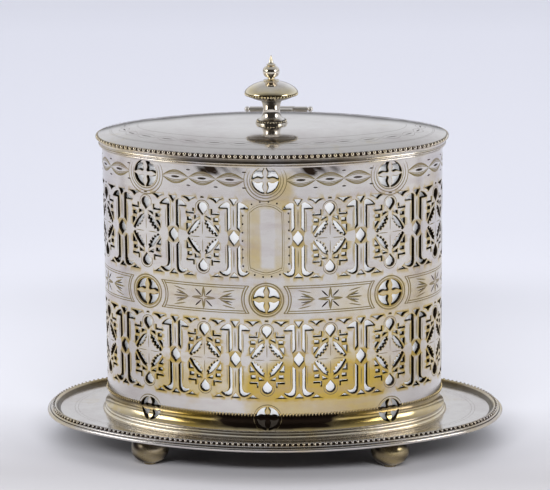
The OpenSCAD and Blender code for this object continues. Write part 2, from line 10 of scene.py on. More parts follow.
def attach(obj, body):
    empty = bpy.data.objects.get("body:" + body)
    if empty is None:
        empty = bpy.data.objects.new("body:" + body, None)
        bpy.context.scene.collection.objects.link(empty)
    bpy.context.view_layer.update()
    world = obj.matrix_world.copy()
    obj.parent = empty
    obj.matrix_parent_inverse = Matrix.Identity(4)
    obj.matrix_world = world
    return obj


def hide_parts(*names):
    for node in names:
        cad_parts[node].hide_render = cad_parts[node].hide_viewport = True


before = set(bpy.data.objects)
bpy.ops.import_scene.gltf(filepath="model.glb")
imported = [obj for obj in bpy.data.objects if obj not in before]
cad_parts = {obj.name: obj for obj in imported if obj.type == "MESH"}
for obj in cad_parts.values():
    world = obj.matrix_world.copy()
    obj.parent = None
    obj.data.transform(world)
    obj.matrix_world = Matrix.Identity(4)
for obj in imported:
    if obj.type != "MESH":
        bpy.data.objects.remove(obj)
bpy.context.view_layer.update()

# Four bun feet: brass balls turned with a flat to stand on, silver plated, each with a stem that is
# riveted through the tray. The plate is polished thin and has gone golden in places.
MM = 0.001
FOOT_AT = [("foot_front_left", -62, -40), ("foot_front_right", 62, -40),
           ("foot_rear_left", -62, 40), ("foot_rear_right", 62, 40)]
SILVER = (0.66, 0.63, 0.60)
GILT = [(0.60, 0.495, 0.29), (0.56, 0.395, 0.085)]
# The second colour is the brown-black of painted shade and painted dark reflections, and of old polish in cuts.
SMEAR_MAUVE, SHADE_AND_SOOT_BROWN = (0.42, 0.335, 0.335), (0.030, 0.020, 0.014)


def node(tree, kind, links=None, **settings):
    """A shader node with its settings and its inputs, each input a value or another node's output."""
    made = tree.nodes.new("ShaderNode" + kind)
    for key, value in settings.items():
        setattr(made, key, value)
    for key, value in (links or {}).items():
        if isinstance(value, bpy.types.NodeSocket):
            tree.links.new(value, made.inputs[key])
        else:
            made.inputs[key].default_value = value
    return made


def stops(ramp, *colours):
    """Sets a colour ramp to (place, colour) stops."""
    steps = ramp.color_ramp.elements
    while len(steps) < len(colours):
        steps.new(0.5)
    for step, (place, colour) in zip(steps, colours):
        step.position = place
        step.color = (*colour, 1)
    return ramp


def noise(tree, place, scale, detail, roughness=0.5):
    """A cloudy noise about 0.5, with clouds of about one over the scale."""
    return node(tree, "TexNoise", {"Vector": place, "Scale": scale, "Detail": detail,
                                   "Roughness": roughness}).outputs["Fac"]


def scaled(tree, value, times, plus):
    """A value times a number, plus another value or number."""
    return node(tree, "Math", {0: value, 1: times, 2: plus}, operation="MULTIPLY_ADD").outputs[0]


def shaded(tree, share, colour, into):
    """A colour that goes over into another one by a share."""
    return node(tree, "Mix", {0: share, 6: colour, 7: (*into, 1)}, data_type="RGBA").outputs[2]


def worn_plate(name, silver, gold, rough, scratches=0.02):
    """Silver plate that turns pale gold and then brass-gold with the attribute tarnish and a cloudy noise, goes
    brown-black with the darkening attribute, which paints shade and dark reflections as well as old polish, and
    carries mauve smears and polishing scratches."""
    made = bpy.data.materials.new(name)
    made.use_nodes = True
    tree = made.node_tree
    shader = tree.nodes["Principled BSDF"]
    place = node(tree, "TexCoord").outputs["Object"]
    tarnish = node(tree, "Attribute", attribute_name="tarnish").outputs["Fac"]
    shade_and_soot = node(tree, "Attribute", attribute_name="shade_and_soot").outputs["Fac"]
    cloud = noise(tree, place, 38, 5, 0.62)
    fleck = noise(tree, place, 260, 4)
    spots = scaled(tree, fleck, 0.2, scaled(tree, cloud, 0.9, -0.44))
    warm = node(tree, "Math", {0: spots, 1: tarnish}, operation="ADD").outputs[0]
    colour = stops(node(tree, "ValToRGB", {"Fac": warm}), (0.22, silver), (0.55, gold[0]), (1.0, gold[1]))
    flat_smear = node(tree, "Mapping", {"Vector": place, "Scale": (34, 34, 150)}).outputs[0]
    smear = node(tree, "MapRange", {"Value": noise(tree, flat_smear, 1.0, 6, 0.7),
                                    "From Min": 0.46, "From Max": 0.74, "To Max": 0.42}).outputs[0]
    smeared = shaded(tree, smear, colour.outputs["Color"], SMEAR_MAUVE)
    # The darkening attribute paints shade and dark reflections brown-black, as well as old polish.
    shade_and_soot_share = scaled(tree, fleck, 0.16, scaled(tree, shade_and_soot, 1.5, -0.08))
    shade_and_soot_share = node(tree, "Math", {0: shade_and_soot_share, 1: shade_and_soot}, operation="MULTIPLY", use_clamp=True).outputs[0]
    tree.links.new(shaded(tree, shade_and_soot_share, smeared, SHADE_AND_SOOT_BROWN), shader.inputs["Base Color"])
    shader.inputs["Metallic"].default_value = 1.0
    dull = scaled(tree, shade_and_soot_share, 0.25, scaled(tree, fleck, 0.12, rough - 0.03))
    tree.links.new(dull, shader.inputs["Roughness"])
    stretched = node(tree, "Mapping", {"Vector": place, "Scale": (900, 900, 5200)}).outputs[0]
    bump = node(tree, "Bump", {"Height": noise(tree, stretched, 1.0, 3), "Strength": scratches,
                               "Distance": 0.0002})
    tree.links.new(bump.outputs[0], shader.inputs["Normal"])
    return made


plate = worn_plate("worn_silver_plate", SILVER, GILT, 0.14)


def lattice(rows, cols, wrap_rows=False, wrap_cols=False):
    """The quads of a grid of points, closed end to end where it wraps: a point's number is its row times
    the columns, plus its column."""
    i, j = np.meshgrid(np.arange(rows if wrap_rows else rows - 1),
                       np.arange(cols if wrap_cols else cols - 1), indexing="ij")
    k, m = (i + 1) % rows, (j + 1) % cols
    return np.stack([i * cols + j, i * cols + m, k * cols + m, k * cols + j], -1).reshape(-1, 4)


def piece(name, body, points, faces, finish, nodes=(), slot="silver_plate", tarnish=0.0, shade_and_soot=0.0,
          sharp=38, cut=None):
    """A piece from points in mm: doubles merged, faces turned outwards, edges over the sharp angle kept crisp.
    Tarnish and the darkening, which is painted shade and old polish, are one number or one for each point; cut is
    a second finish and the number of the first face that takes it."""
    mesh = bpy.data.meshes.new(name)
    mesh.from_pydata(points * MM, [], faces if isinstance(faces, list) else faces.tolist())
    for label, value in (("tarnish", tarnish), ("shade_and_soot", shade_and_soot)):
        filled = np.ascontiguousarray(np.broadcast_to(value, len(points)), np.float32)
        mesh.attributes.new(label, "FLOAT", "POINT").data.foreach_set("value", filled)
    mesh.materials.append(finish)
    if cut:
        mesh.materials.append(cut[0])
        mesh.polygons.foreach_set("material_index", (np.arange(len(faces)) >= cut[1]).astype(np.int32))
    work = bmesh.new()
    work.from_mesh(mesh)
    bmesh.ops.remove_doubles(work, verts=work.verts, dist=0.003 * MM)
    bmesh.ops.recalc_face_normals(work, faces=work.faces)
    work.to_mesh(mesh)
    work.free()
    mesh.shade_smooth()
    mesh.set_sharp_from_angle(angle=math.radians(sharp))
    made = bpy.data.objects.new(name, mesh)
    bpy.context.scene.collection.objects.link(made)
    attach(made, body)
    if nodes:
        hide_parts(*nodes)
    return made


def turned(profile, x=0.0, y=0.0, segments=64):
    """A profile of (radius, height) turned once about an upright axis through x, y: the radius times the
    cosine and the sine of the turn."""
    turn = np.arange(segments) / segments * 2 * np.pi
    r, z = np.asarray(profile, float).T
    points = np.stack([x + r * np.cos(turn)[:, None], y + r * np.sin(turn)[:, None],
                       np.broadcast_to(z, (segments, len(z)))], -1)
    return points.reshape(-1, 3), lattice(segments, len(z), wrap_rows=True)


def arc(x, z, radius, first, last, count=9):
    """Points on an arc about x, z, at even steps between two angles in degrees."""
    angle = np.radians(np.linspace(first, last, count))
    return np.stack([x + radius * np.cos(angle), z + radius * np.sin(angle)], -1)


foot_profile = np.vstack([
    [(0, 0), (3.2, 0)], arc(2.6, 8.4, 7.25, -85, 0, 14), arc(1.4, 8.4, 8.45, 8, 52, 10),
    [(6.2, 15.6), (6.1, 16.3), (6.6, 16.7), (6.9, 17.1), (6.9, 17.5), (6.5, 17.8), (0, 17.8)]])
for foot, foot_x, foot_y in FOOT_AT:
    foot_points, foot_faces = turned(foot_profile, foot_x, foot_y, 48)
    foot_turn = np.arctan2(foot_points[:, 1] - foot_y, foot_points[:, 0] - foot_x)
    foot_z = foot_points[:, 2]
    # The dark top of each foot is painted shade under the tray. The blotches paint dark reflections as well as
    # tarnish.
    neck_shade = np.clip((foot_z - 11.5) / 4, 0, 1) * 0.95
    tarnish_and_reflection_blotches = 0.55 + 0.3 * np.sin(3 * foot_turn + 0.5 * foot_z) * np.sin(foot_z / 2.4)
    piece("bun_" + foot, "box", foot_points, foot_faces, plate, [foot], tarnish=0.45,
          shade_and_soot=np.clip(np.maximum(neck_shade, tarnish_and_reflection_blotches), 0, 1))

# The tray: one flat oval sheet of plated brass, drilled for the stems of the feet and for the screws that hold the
# box. Its bare middle is worn bright; towards the border the sheet is painted darker as shade at the foot of the
# moulding, and its underside is painted dark as shade.
TRAY = np.array([120.3, 75.8])
TRAY_LOW, TRAY_TOP = 17.8, 19


def along_oval(half, run, out):
    """Points of an oval struck from four centres with a 3-4-5 triangle, run mm along it from the middle
    of the front towards +X and out mm outside it: on each arc the angle grows by run over radius."""
    a, b = half
    c, d = 1.5 * (a - b), 2.0 * (a - b)
    end_r, side_r = a - c, b + d
    lean = math.atan2(3, 4)
    h, e = side_r * lean, 2 * end_r * (math.pi / 2 - lean)
    marks = np.cumsum([0, h, e, 2 * h, e])
    part = np.searchsorted(marks, np.mod(run, marks[-1] + h), side="right") - 1
    x, y = np.array([0, c, 0, -c, 0])[part], np.array([d, 0, -d, 0, d])[part]
    r = np.array([side_r, end_r, side_r, end_r, side_r])[part]
    first = np.array([-math.pi / 2, lean - math.pi / 2, math.pi / 2 - lean,
                      math.pi / 2 + lean, 1.5 * math.pi - lean])[part]
    angle = first + (np.mod(run, marks[-1] + h) - marks[part]) / r
    return x + (r + out) * np.cos(angle), y + (r + out) * np.sin(angle)


def oval_length(half):
    """Two side arcs and two end arcs, each its radius times its angle."""
    a, b = half
    lean = math.atan2(3, 4)
    return 4 * (2 * a - b) * lean + 4 * (1.5 * b - 0.5 * a) * (math.pi / 2 - lean)


def oval_sheet(half, rings, stations=240):
    """An oval solid from rings of (distance outside the oval, height, share): each ring is the oval at
    that distance, shrunk to the share about the middle, so that a share of 0 closes the sheet there."""
    out, z, share = np.asarray(rings, float).T[:, :, None]
    x, y = along_oval(half, np.arange(stations) / stations * oval_length(half), out)
    points = np.stack([x * share, y * share, np.broadcast_to(z, x.shape)], -1)
    return points.reshape(-1, 3), lattice(len(rings), stations, wrap_cols=True)


def middle(out, z):
    """Rings from the middle of an oval out to a distance."""
    return [(out, z, share) for share in (0, 0.2, 0.45, 0.7, 0.88)]


well = -53.0
tray_rings = (middle(well, TRAY_LOW) + [(well, TRAY_LOW, 1), (-1.25, TRAY_LOW, 1), (-1.25, TRAY_TOP, 1)]
              + [(out, TRAY_TOP, 1) for out in np.linspace(-3, well, 24)] + middle(well, TRAY_TOP)[::-1])
tray_points, tray_faces = oval_sheet(TRAY, tray_rings)
rim_way = np.hypot(tray_points[:, 0] / TRAY[0], tray_points[:, 1] / TRAY[1])
# Painted shade: dark under the sheet, and darker towards the foot of the border.
tray_shade = np.where(tray_points[:, 2] < 18, 0.8, np.clip((rim_way - 0.93) * 9, 0, 0.5))
piece("tray_sheet", "box", tray_points, tray_faces, plate, ["tray_plate"], tarnish=0.05, shade_and_soot=tray_shade)

# The tray border: a strip of brass drawn to a moulding and rolled over at its lip, soldered round the sheet
# and plated with it. A row of beads is soldered in the seat between its crown and its lip.
STATIONS = 360


def carried(half, profile, stations=STATIONS):
    """A closed outline of (distance outside the oval, height) carried once round the oval."""
    out, z = np.asarray(profile, float).T
    x, y = along_oval(half, np.arange(stations)[:, None] / stations * oval_length(half), out)
    points = np.stack([x, y, np.broadcast_to(z, x.shape)], -1)
    return points.reshape(-1, 3), lattice(stations, len(out), True, True)


def bead_row(half, z, radius, pitch):
    """Balls of 40 faces at even steps along an oval."""
    count = round(oval_length(half) / pitch)
    x, y = along_oval(half, np.arange(count) / count * oval_length(half), 0)
    return balls(np.stack([x, y, np.full(count, z)], -1), radius)


def balls(centres, radius):
    """A ball of 8 by 5 quads at each centre: even steps of longitude u and latitude v, times the radius."""
    u, v = np.meshgrid(np.arange(8) / 8 * 2 * np.pi, np.linspace(-np.pi / 2, np.pi / 2, 6))
    ball = np.stack([np.cos(v) * np.cos(u), np.cos(v) * np.sin(u), np.sin(v)], -1).reshape(-1, 3)
    points = centres[:, None] + radius * ball
    faces = lattice(6, 8, wrap_cols=True) + 48 * np.arange(len(centres))[:, None, None]
    return points.reshape(-1, 3), faces.reshape(-1, 4)


border_profile = np.vstack([
    [(-7, 19), (-6.6, 19.2), (-6.0, 19.6), (-5.3, 20.4), (-4.85, 21.05), (-4.5, 21.4), (-4.15, 21.5),
     (-3.85, 21.35), (-3.78, 21.25), (-2.85, 20.3), (-2.7, 20.38), (-2.3, 20.36), (-1.95, 20.2),
     (-1.7, 19.95), (-1.6, 19.7), (-1.5, 19.5)],
    arc(-0.95, 18.6, 0.95, 105, -60, 11), [(-1.25, 17.4), (-1.25, 19)]])
border_points, border_faces = carried(TRAY, border_profile)
border_out, border_z = border_profile.T
on_seat = (border_out > -3.8) & (border_out < -2.8) & (border_z > 20.25)
in_groove = (np.abs(border_out + 1.55) < 0.06) & (border_z > 19.4)
# Painted shade between the beads in their seat, in the groove and under the lip, and a painted dark reflection on
# the inner slope.
border_shade = np.tile(np.select([on_seat, in_groove, border_out < -4.9, border_z < 17.5],
                                [1.0, 0.9, 0.7, 0.6], 0.02), STATIONS)
border_gold = np.clip(0.30 + 0.0026 * border_points[:, 1], 0.08, 0.6)
piece("tray_moulding", "box", border_points, border_faces, plate, ["tray_border"],
      tarnish=border_gold, shade_and_soot=border_shade)

piece("tray_bead_row", "box", *bead_row(TRAY - 3.15, 20.95, 0.78, 2.75), plate, ["tray_beads"], tarnish=0.20)

# The lines in the well of the tray: two fine ovals round the box, scribed into the plate with a point and
# darkened by old polish.


def joined(parts):
    """Several (points, faces) meshes as one."""
    starts = np.cumsum([0] + [len(p) for p, _ in parts])
    return np.vstack([p for p, _ in parts]), np.vstack([f + s for (_, f), s in zip(parts, starts)])


scribed = worn_plate("fine_bright_cut", (0.44, 0.41, 0.37), [(0.40, 0.34, 0.24), (0.34, 0.26, 0.14)], 0.24)
scribed_lines = [carried(TRAY, [(out - 0.2, 18.98), (out, 19.03), (out + 0.2, 18.98)], 180)
                 for out in (-14.5, -16.2)]
piece("tray_scribed_lines", "box", *joined(scribed_lines), scribed)

# The base moulding: a plated brass ring with two steps at its foot and a hollow above them, pierced with seven
# roundels that run up into the wall, and a spigot behind the wall. Four screws from under the tray hold it.
BODY = np.array([88.0, 55.0])
ROUND = oval_length(BODY)
BAY = ROUND / 14
ROUNDELS = BAY * np.arange(-6, 7, 2)
HOLLOW = (5.4, 27.755, 6.3)
HOLLOW_LOW, WALL_FOOT, SPIGOT_TOP = 22.9, 31.0, 34
BASE_ROUNDEL = (29.2, 6.1)
CUT_LEAN, HALO = 0.3, 0.5


def roundel(x, z, radius):
    """Four openings round a cross whose arms swell like leaves between the middle and the ring: half an
    arm's width is a power of a sine along its length, and a little more at the middle."""
    way = np.linspace(0, 1, 9)
    reach = 1.5 + way * (radius * 0.985 - 1.5)
    wide = 0.45 + 0.85 * np.sin(np.pi * np.clip(way * 1.12, 0, 1)) ** 1.5 + 0.45 * (1 - way) ** 3
    start = math.degrees(math.asin(wide[-1] / radius)) + 1.5
    quarter = np.vstack([np.stack([wide, reach], -1)[::-1], np.stack([reach, wide], -1),
                         arc(0, 0, radius, start, 90 - start, 12)])
    return [quarter * flip + (x, z) for flip in ((1, 1), (-1, 1), (1, -1), (-1, -1))]


def pierced(low, high, openings, step, extra_rows=()):
    """The sheet once round the box as triangles in (run, height), with the openings left out: a net of the
    fattest triangles between the points of a grid, the openings' corners and a halo round each opening.
    It returns the points, the triangles, and for each point the way into the opening that it borders, or
    nothing."""
    cols = 2 * round(ROUND / step / 2)
    rows = np.unique(np.r_[np.linspace(low, high, round((high - low) / step) + 1), extra_rows])
    runs = np.linspace(-ROUND / 2, ROUND / 2, cols + 1)
    inner = rows[1:-1]
    border = np.vstack([np.stack([runs, np.full(cols + 1, low)], -1), [(runs[-1], z) for z in inner],
                        np.stack([runs, np.full(cols + 1, high)], -1)[::-1],
                        [(runs[0], z) for z in inner][::-1]])
    openings = [o[::int(np.sign(area(o)))] for o in openings]
    corners = np.vstack(openings)
    sizes = [len(o) for o in openings]
    halo = np.vstack([o + HALO * outward(o) for o in openings])
    grid = np.stack(np.meshgrid(runs[1:-1], inner), -1).reshape(-1, 2)
    around = np.stack(np.meshgrid([-1, 0, 1], [-1, 0, 1]), -1).reshape(1, -1, 2)
    near = (np.round(corners).astype(int)[:, None] + around).reshape(-1, 2) @ [100000, 1]
    grid = grid[~np.isin(np.round(grid).astype(int) @ [100000, 1], near)]
    lines = [np.stack([runs[1:-1], np.full(cols - 1, z)], -1) for z in extra_rows]
    points = np.vstack([border, corners, halo, grid, *lines])
    starts = len(border) + np.cumsum([0, *sizes])
    loops = [list(range(len(border)))] + [list(range(a, b)) for a, b in zip(starts, starts[1:])]
    flat, _, faces, sources, _, owners = delaunay_2d_cdt(points.tolist(), [], loops, 1, 1e-5, True)
    faces = np.array([f for f, o in zip(faces, owners) if o == [0]])
    inward = np.zeros((len(points), 2))
    inward[len(border):starts[-1]] = -np.vstack([outward(o) for o in openings])
    return np.array(flat), faces, inward[[min(s) if s else 0 for s in sources]]


def area(outline):
    """The area inside an outline, below zero where it runs clockwise: half the sum, over its sides, of the
    cross product of the two ends."""
    x, z = outline.T
    return np.sum(x * np.roll(z, -1) - np.roll(x, -1) * z) / 2


def outward(outline):
    """Unit directions away from an outline at its corners, halfway between its two sides there."""
    side = np.roll(outline, -1, 0) - outline
    side /= np.maximum(np.linalg.norm(side, axis=1), 1e-9)[:, None]
    lean = side + np.roll(side, 1, 0)
    lean /= np.maximum(np.linalg.norm(lean, axis=1), 0.3)[:, None]
    return np.stack([lean[:, 1], -lean[:, 0]], -1) * np.sign(area(outline))


def two_skins(flat, faces, inward, outer, inner):
    """A sheet with a thickness: the net at the outer and at the inner distance from the oval, the openings
    narrower inside by the lean of the cuts, joined by the cut faces along each side that only one
    triangle has, but not along the seam at the back. The cut faces come last."""
    both = np.vstack([flat, flat + CUT_LEAN * inward])
    points = np.stack([*along_oval(BODY, both[:, 0], np.r_[outer, inner]), both[:, 1]], -1)
    sides = np.concatenate([faces[:, [0, 1]], faces[:, [1, 2]], faces[:, [2, 0]]])
    _, first, count = np.unique(np.sort(sides, 1) @ [len(flat), 1], return_index=True, return_counts=True)
    rim = sides[first[count == 1]]
    rim = rim[~np.all(np.abs(flat[rim, 0]) > ROUND / 2 - 0.001, axis=1)]
    back = len(flat)
    walls = np.stack([rim[:, 1], rim[:, 0], rim[:, 0] + back, rim[:, 1] + back], -1)
    return points, faces.tolist() + (faces[:, ::-1] + back).tolist() + walls.tolist()


def polished(made, slope):
    """Gives the skins of a pierced sheet the exact directions of the oval, from the centre of the arc that
    a point lies on, tilted by slope(height) as (outward, upward) parts, so that its reflections run
    smoothly across the triangles."""
    mesh = made.data
    corners = np.empty(len(mesh.loops), np.int32)
    mesh.loops.foreach_get("vertex_index", corners)
    sizes = np.empty(len(mesh.polygons), np.int32)
    flat = np.empty(len(mesh.polygons) * 3, np.float32)
    mesh.polygons.foreach_get("loop_total", sizes)
    mesh.polygons.foreach_get("normal", flat)
    flat = np.repeat(flat.reshape(-1, 3), sizes, 0)
    co = np.empty(len(mesh.vertices) * 3, np.float32)
    mesh.vertices.foreach_get("co", co)
    x, y, z = co.reshape(-1, 3)[corners].T / MM
    c, d = 1.5 * (BODY[0] - BODY[1]), 2.0 * (BODY[0] - BODY[1])
    at_end = 0.8 * (np.abs(x) - c) > 0.6 * np.abs(y)
    way = np.stack([np.where(at_end, x - np.sign(x) * c, x),
                    np.where(at_end, y, y + np.sign(y) * d)], -1)
    way /= np.linalg.norm(way, axis=1)[:, None]
    out, up = slope(z)
    exact = np.stack([way[:, 0] * out, way[:, 1] * out, up], -1)
    exact *= np.sign(np.sum(exact * flat, axis=1))[:, None]
    skin = np.repeat(sizes == 3, sizes) & (np.sum(exact * flat, axis=1) > 0.7)
    mesh.normals_split_custom_set(np.where(skin[:, None], exact, flat).tolist())


step_grooves = (20.5, 20.65, 21.8, 21.95)
step_profile = np.array([
    (-9, 19), (2.65, 19), (2.75, 19.2), (2.7, 19.5), (2.5, 19.8), (2.0, 20.25), (1.75, 20.4), (1.55, 20.5),
    (1.55, 20.65), (1.85, 20.7), (1.9, 20.95), (1.75, 21.25), (1.4, 21.65), (1.15, 21.8), (1.15, 21.95),
    (1.4, 22.0), (1.48, 22.25), (1.45, 22.6), (1.38, 22.9), (-2.2, 22.9), (-2.2, 22), (-9, 22)])
# The grooves between the steps are painted dark as shade.
step_groove_shade = np.tile(np.where(np.isin(step_profile[:, 1], step_grooves), 0.85, 0.0), STATIONS)
brushed = worn_plate("brushed_base_plate", (0.82, 0.78, 0.70), [(0.78, 0.66, 0.42), (0.64, 0.47, 0.17)],
                     0.22, 0.004)
piece("base_steps", "box", *carried(BODY, step_profile), brushed, tarnish=0.28, shade_and_soot=step_groove_shade)

base_openings = [o for run in ROUNDELS for o in roundel(run, *BASE_ROUNDEL)]
base_flat, base_net, base_inward = pierced(HOLLOW_LOW, SPIGOT_TOP, base_openings, 1.4,
                                           (23.4, 23.9, 24.4, WALL_FOOT, WALL_FOOT + 0.02))


def hollow_out(z):
    """The hollow's circle up to the foot of the wall, and the spigot's face above."""
    x, middle_z, radius = HOLLOW
    in_hollow = x - np.sqrt(np.maximum(radius ** 2 - (z - middle_z) ** 2, 0))
    return np.where(z < WALL_FOOT + 0.01, in_hollow, -0.95)


def hollow_slope(z):
    """Towards the middle of the hollow's circle, and level on the spigot."""
    _, middle_z, radius = HOLLOW
    up = np.where(z < WALL_FOOT + 0.01, (middle_z - z) / radius, 0)
    return np.sqrt(1 - up ** 2), up


# The cut faces of the openings are painted near-black: painted shade where the gap behind the sheet falls dark,
# and old polish. The same finish serves the deepest engraving and the punched dots.
cut_shade_and_polish = worn_plate("saw_cut_shade_and_polish", (0.045, 0.034, 0.024), [(0.06, 0.042, 0.022), (0.09, 0.06, 0.025)],
                       0.5)
base_points, base_faces = two_skins(base_flat, base_net, base_inward, hollow_out(base_flat[:, 1]),
                                    np.full(len(base_flat), -2.2))
run, height = np.tile(base_flat, (2, 1)).T
base_gold = 0.46 + 0.34 * np.exp(-((run + 38) / 16) ** 2) + 0.30 * np.exp(-((run - 48) / 20) ** 2)
# Painted light on the hollow: a black painted reflection across its front, broken at the glints where the hollow's
# own reflection shows, and painted shade in its upper half under the wall, strongest at the left.
glints = (np.abs(run + 22) < 4) | (np.abs(run + 9.5) < 5.5) | (np.abs(run - 17.5) < 4.5)
front_dark_reflection = 1.25 * np.exp(-((run - 4) / 32) ** 8) * (1 - glints * np.exp(-((height - 23.3) / 0.6) ** 4))
ripple = 0.86 + 0.14 * np.sin(run / 3.1 + 2 * height)
upper_shade = (0.16 + 0.6 * (run < -62) + 0.2 * (run > 30)) * (1 + np.tanh(height - 28.2)) / 2
base_shade = np.clip(front_dark_reflection * ripple + upper_shade, 0, 1) * np.exp(-((height - 27.6) / 4.3) ** 8)
base = piece("base_hollow", "box", base_points, base_faces, plate, ["base_moulding"],
             tarnish=base_gold, shade_and_soot=base_shade, cut=(cut_shade_and_polish, 2 * len(base_net)))
polished(base, hollow_slope)

# The floor of the box and its four screws stay as the CAD has them: a plain dull plate that lies loose on the
# flange of the base, and bare brass screws from under the tray.


def dressed(finish, *names):
    """Gives one finish to CAD nodes that keep their shape."""
    for name in names:
        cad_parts[name].data.materials.clear()
        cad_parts[name].data.materials.append(finish)


inner_plate = worn_plate("dull_inner_plate", (0.55, 0.53, 0.50), [(0.50, 0.44, 0.33), (0.40, 0.31, 0.18)],
                         0.38)
bare_brass = worn_plate("bare_brass", (0.66, 0.50, 0.24), [(0.60, 0.43, 0.18), (0.42, 0.28, 0.10)], 0.26)
dressed(inner_plate, "body_floor")
dressed(bare_brass, "base_screw_left", "base_screw_right", "base_screw_front", "base_screw_rear")

# The liner: a tall oval vessel of white opal glass, blown in a mould, its mouth ground and rounded. It
# stands loose on the floor and lifts out.
opal = bpy.data.materials.new("white_opal_glass")
opal.use_nodes = True
opal_tree = opal.node_tree
opal_shader = opal_tree.nodes["Principled BSDF"]
opal_place = node(opal_tree, "TexCoord").outputs["Object"]
opal_colour = stops(node(opal_tree, "ValToRGB", {"Fac": noise(opal_tree, opal_place, 55, 4)}),
                    (0.3, (0.89, 0.895, 0.915)), (0.7, (0.93, 0.935, 0.945)))
# The liner darkens towards this brown-black with painted shade from the darkening attribute.
opal_shade = node(opal_tree, "Attribute", attribute_name="shade_and_soot").outputs["Fac"]
opal_mix = shaded(opal_tree, opal_shade, opal_colour.outputs["Color"], (0.05, 0.042, 0.034))
opal_tree.links.new(opal_mix, opal_shader.inputs["Base Color"])
opal_shader.inputs["Roughness"].default_value = 0.16
opal_bump = node(opal_tree, "Bump", {"Height": noise(opal_tree, opal_place, 140, 1), "Strength": 0.12,
                                     "Distance": 0.0006})
opal_tree.links.new(opal_bump.outputs[0], opal_shader.inputs["Normal"])
cup, glass_low, glass_floor = -38.0, 23, 27
glass_foot = [(cup, glass_low, 1), (-20, glass_low, 1), (-4.4, glass_low, 1), (-3.3, 23.4, 1), (-2.9, 24.5, 1)]
glass_side = [(-2.9, z, 1) for z in (28.8, 29.8, 35.0, 36.0, 60, 100, 140, 155.4)]
glass_mouth = [(-4.6 + 1.7 * math.cos(t), 155.1 + 1.7 * math.sin(t), 1)
               for t in np.linspace(0.2, math.pi - 0.2, 9)]
glass_inside = [(-6.3, z, 1) for z in (155.0, 140, 100, 60, 31)]
glass_inside += [(-6.8, 28.6, 1), (-8.6, 27.2, 1)] + [(out, glass_floor, 1) for out in (-11, -25, cup)]
liner_rings = (middle(cup, glass_low) + glass_foot + glass_side + glass_mouth + glass_inside
               + middle(cup, glass_floor)[::-1])
liner_points, liner_faces = oval_sheet(BODY, liner_rings, 280)
# Painted shade on the liner: black low down at the front behind the middle base roundel, and darker all round
# below the foot of the wall.
at_front = (np.abs(liner_points[:, 0]) < 16) & (liner_points[:, 1] < -50)
liner_foot_shade = np.where(at_front, liner_points[:, 2] < 29, 0.45 * (liner_points[:, 2] < 35.5))
liner = piece("opal_liner", "liner", liner_points, liner_faces, opal, ["liner"], "opal_glass",
              shade_and_soot=liner_foot_shade)

# The wall: one long sheet of plated brass, pierced with saws and chisels in fourteen bays of two rows,
# engraved, bent to the oval and soldered behind the hinge. A blank plaque stands in place of the front
# upper panel.
ROWS = (60.0, 123.0)
MID, TOP, ROUNDEL_R = 91.5, 153.0, 6.9
WALL_TOP = 159.4
WALL_THICK, RIM_THICK, RIM_LOW = 1.8, 1.3, 156


def smooth_loop(corners, count):
    """A closed outline through the corners, each side a cubic curve of count steps whose direction at a
    corner is that from the corner before to the corner after."""
    p = np.asarray(corners, float)
    t = (np.arange(count) / count)[None, :, None]
    a, b, c, d = (np.roll(p, k, 0)[:, None] for k in (1, 0, -1, -2))
    return (b + 0.5 * t * (c - a + t * (2 * a - 5 * b + 4 * c - d + t * (3 * (b - c) + d - a)))).reshape(-1, 2)


HOOK = [(-9.0, 11.6), (-4.5, 11.6), (-4.5, 14.6), (-5.3, 14.6), (-5.3, 12.7), (-9.0, 12.7)]
SQUARE = [(-8.4, 8.0), (-5.8, 8.0), (-5.8, 10.0), (-8.4, 10.0)]
WEDGE = [(-8.9, 6.6), (-5.9, 6.4), (-8.8, 2.5)]
BARB = [(-1.2, 10.7), (-4.3, 11.1), (-4.5, 8.8)]
LEAF_EDGE = np.array([(-7.6, 0.8), (-5.7, 1.7), (-4.1, 2.9), (-2.8, 4.5), (-1.8, 6.4), (-1.1, 8.4)])
leaf_way = np.diff(LEAF_EDGE, axis=0)
leaf_side = np.stack([leaf_way[:, 1], -leaf_way[:, 0]], -1) / np.linalg.norm(leaf_way, axis=1)[:, None]
tooth_step = np.array([0, 0.52, 0.58, 0.94])[:, None, None]
tooth_depth = np.array([0.38, 0.38, -0.38, -0.38])[:, None, None]
leaf_teeth = LEAF_EDGE[:-1] + tooth_step * leaf_way + tooth_depth * leaf_side
leaf_teeth = np.moveaxis(leaf_teeth, 0, 1).reshape(-1, 2)
LEAF = np.vstack([[(-1.1, 9.1), (-3.6, 7.9), (-6.2, 4.9), (-8.3, 1.3)], leaf_teeth])
SPANDREL = [(-11.2, 20.3), (-3.1, 20.3), (-4.4, 19.6), (-5.8, 19.0), (-7.2, 17.7), (-8.7, 19.1)]
LOW_BAR = [(-10.6, -20.4), (-4.0, -20.4), (-5.4, -19.9), (-7.3, -18.6), (-9.2, -19.9)]
DROP = np.vstack([[(0, 11.2)], arc(0, 15.3, 2.65, 226, 90, 10)])
NOTCH = [(0, 20.1), (-0.9, 20.1), (-0.7, 20.9), (0, 20.9)]
top_hook = [(7.7, 15.6), (6.1, 17.2), (4.4, 18.2), (2.9, 18.5), (1.8, 17.6), (1.6, 16.0)]
low_hook = [(1.6, -16.2), (1.9, -18.2), (3.0, -19.4), (4.6, -19.7), (6.4, -19.0), (7.8, -17.7)]
SLOT_TOP = np.vstack([[(3.35, 3.25), (3.35, 15.0), (7.5, 15.0), (7.7, 15.6)],
                      smooth_loop(top_hook, 3)[3:13], [(1.6, 5.1)]])
SLOT_LOW = np.vstack([[(1.6, -5.1), (1.6, -16.2)], smooth_loop(low_hook, 3)[3:13],
                      [(7.8, -17.7), (7.3, -17.2), (5.7, -17.5), (4.3, -16.9), (3.5, -15.6), (3.35, -14.2),
                       (3.35, -3.25)]])
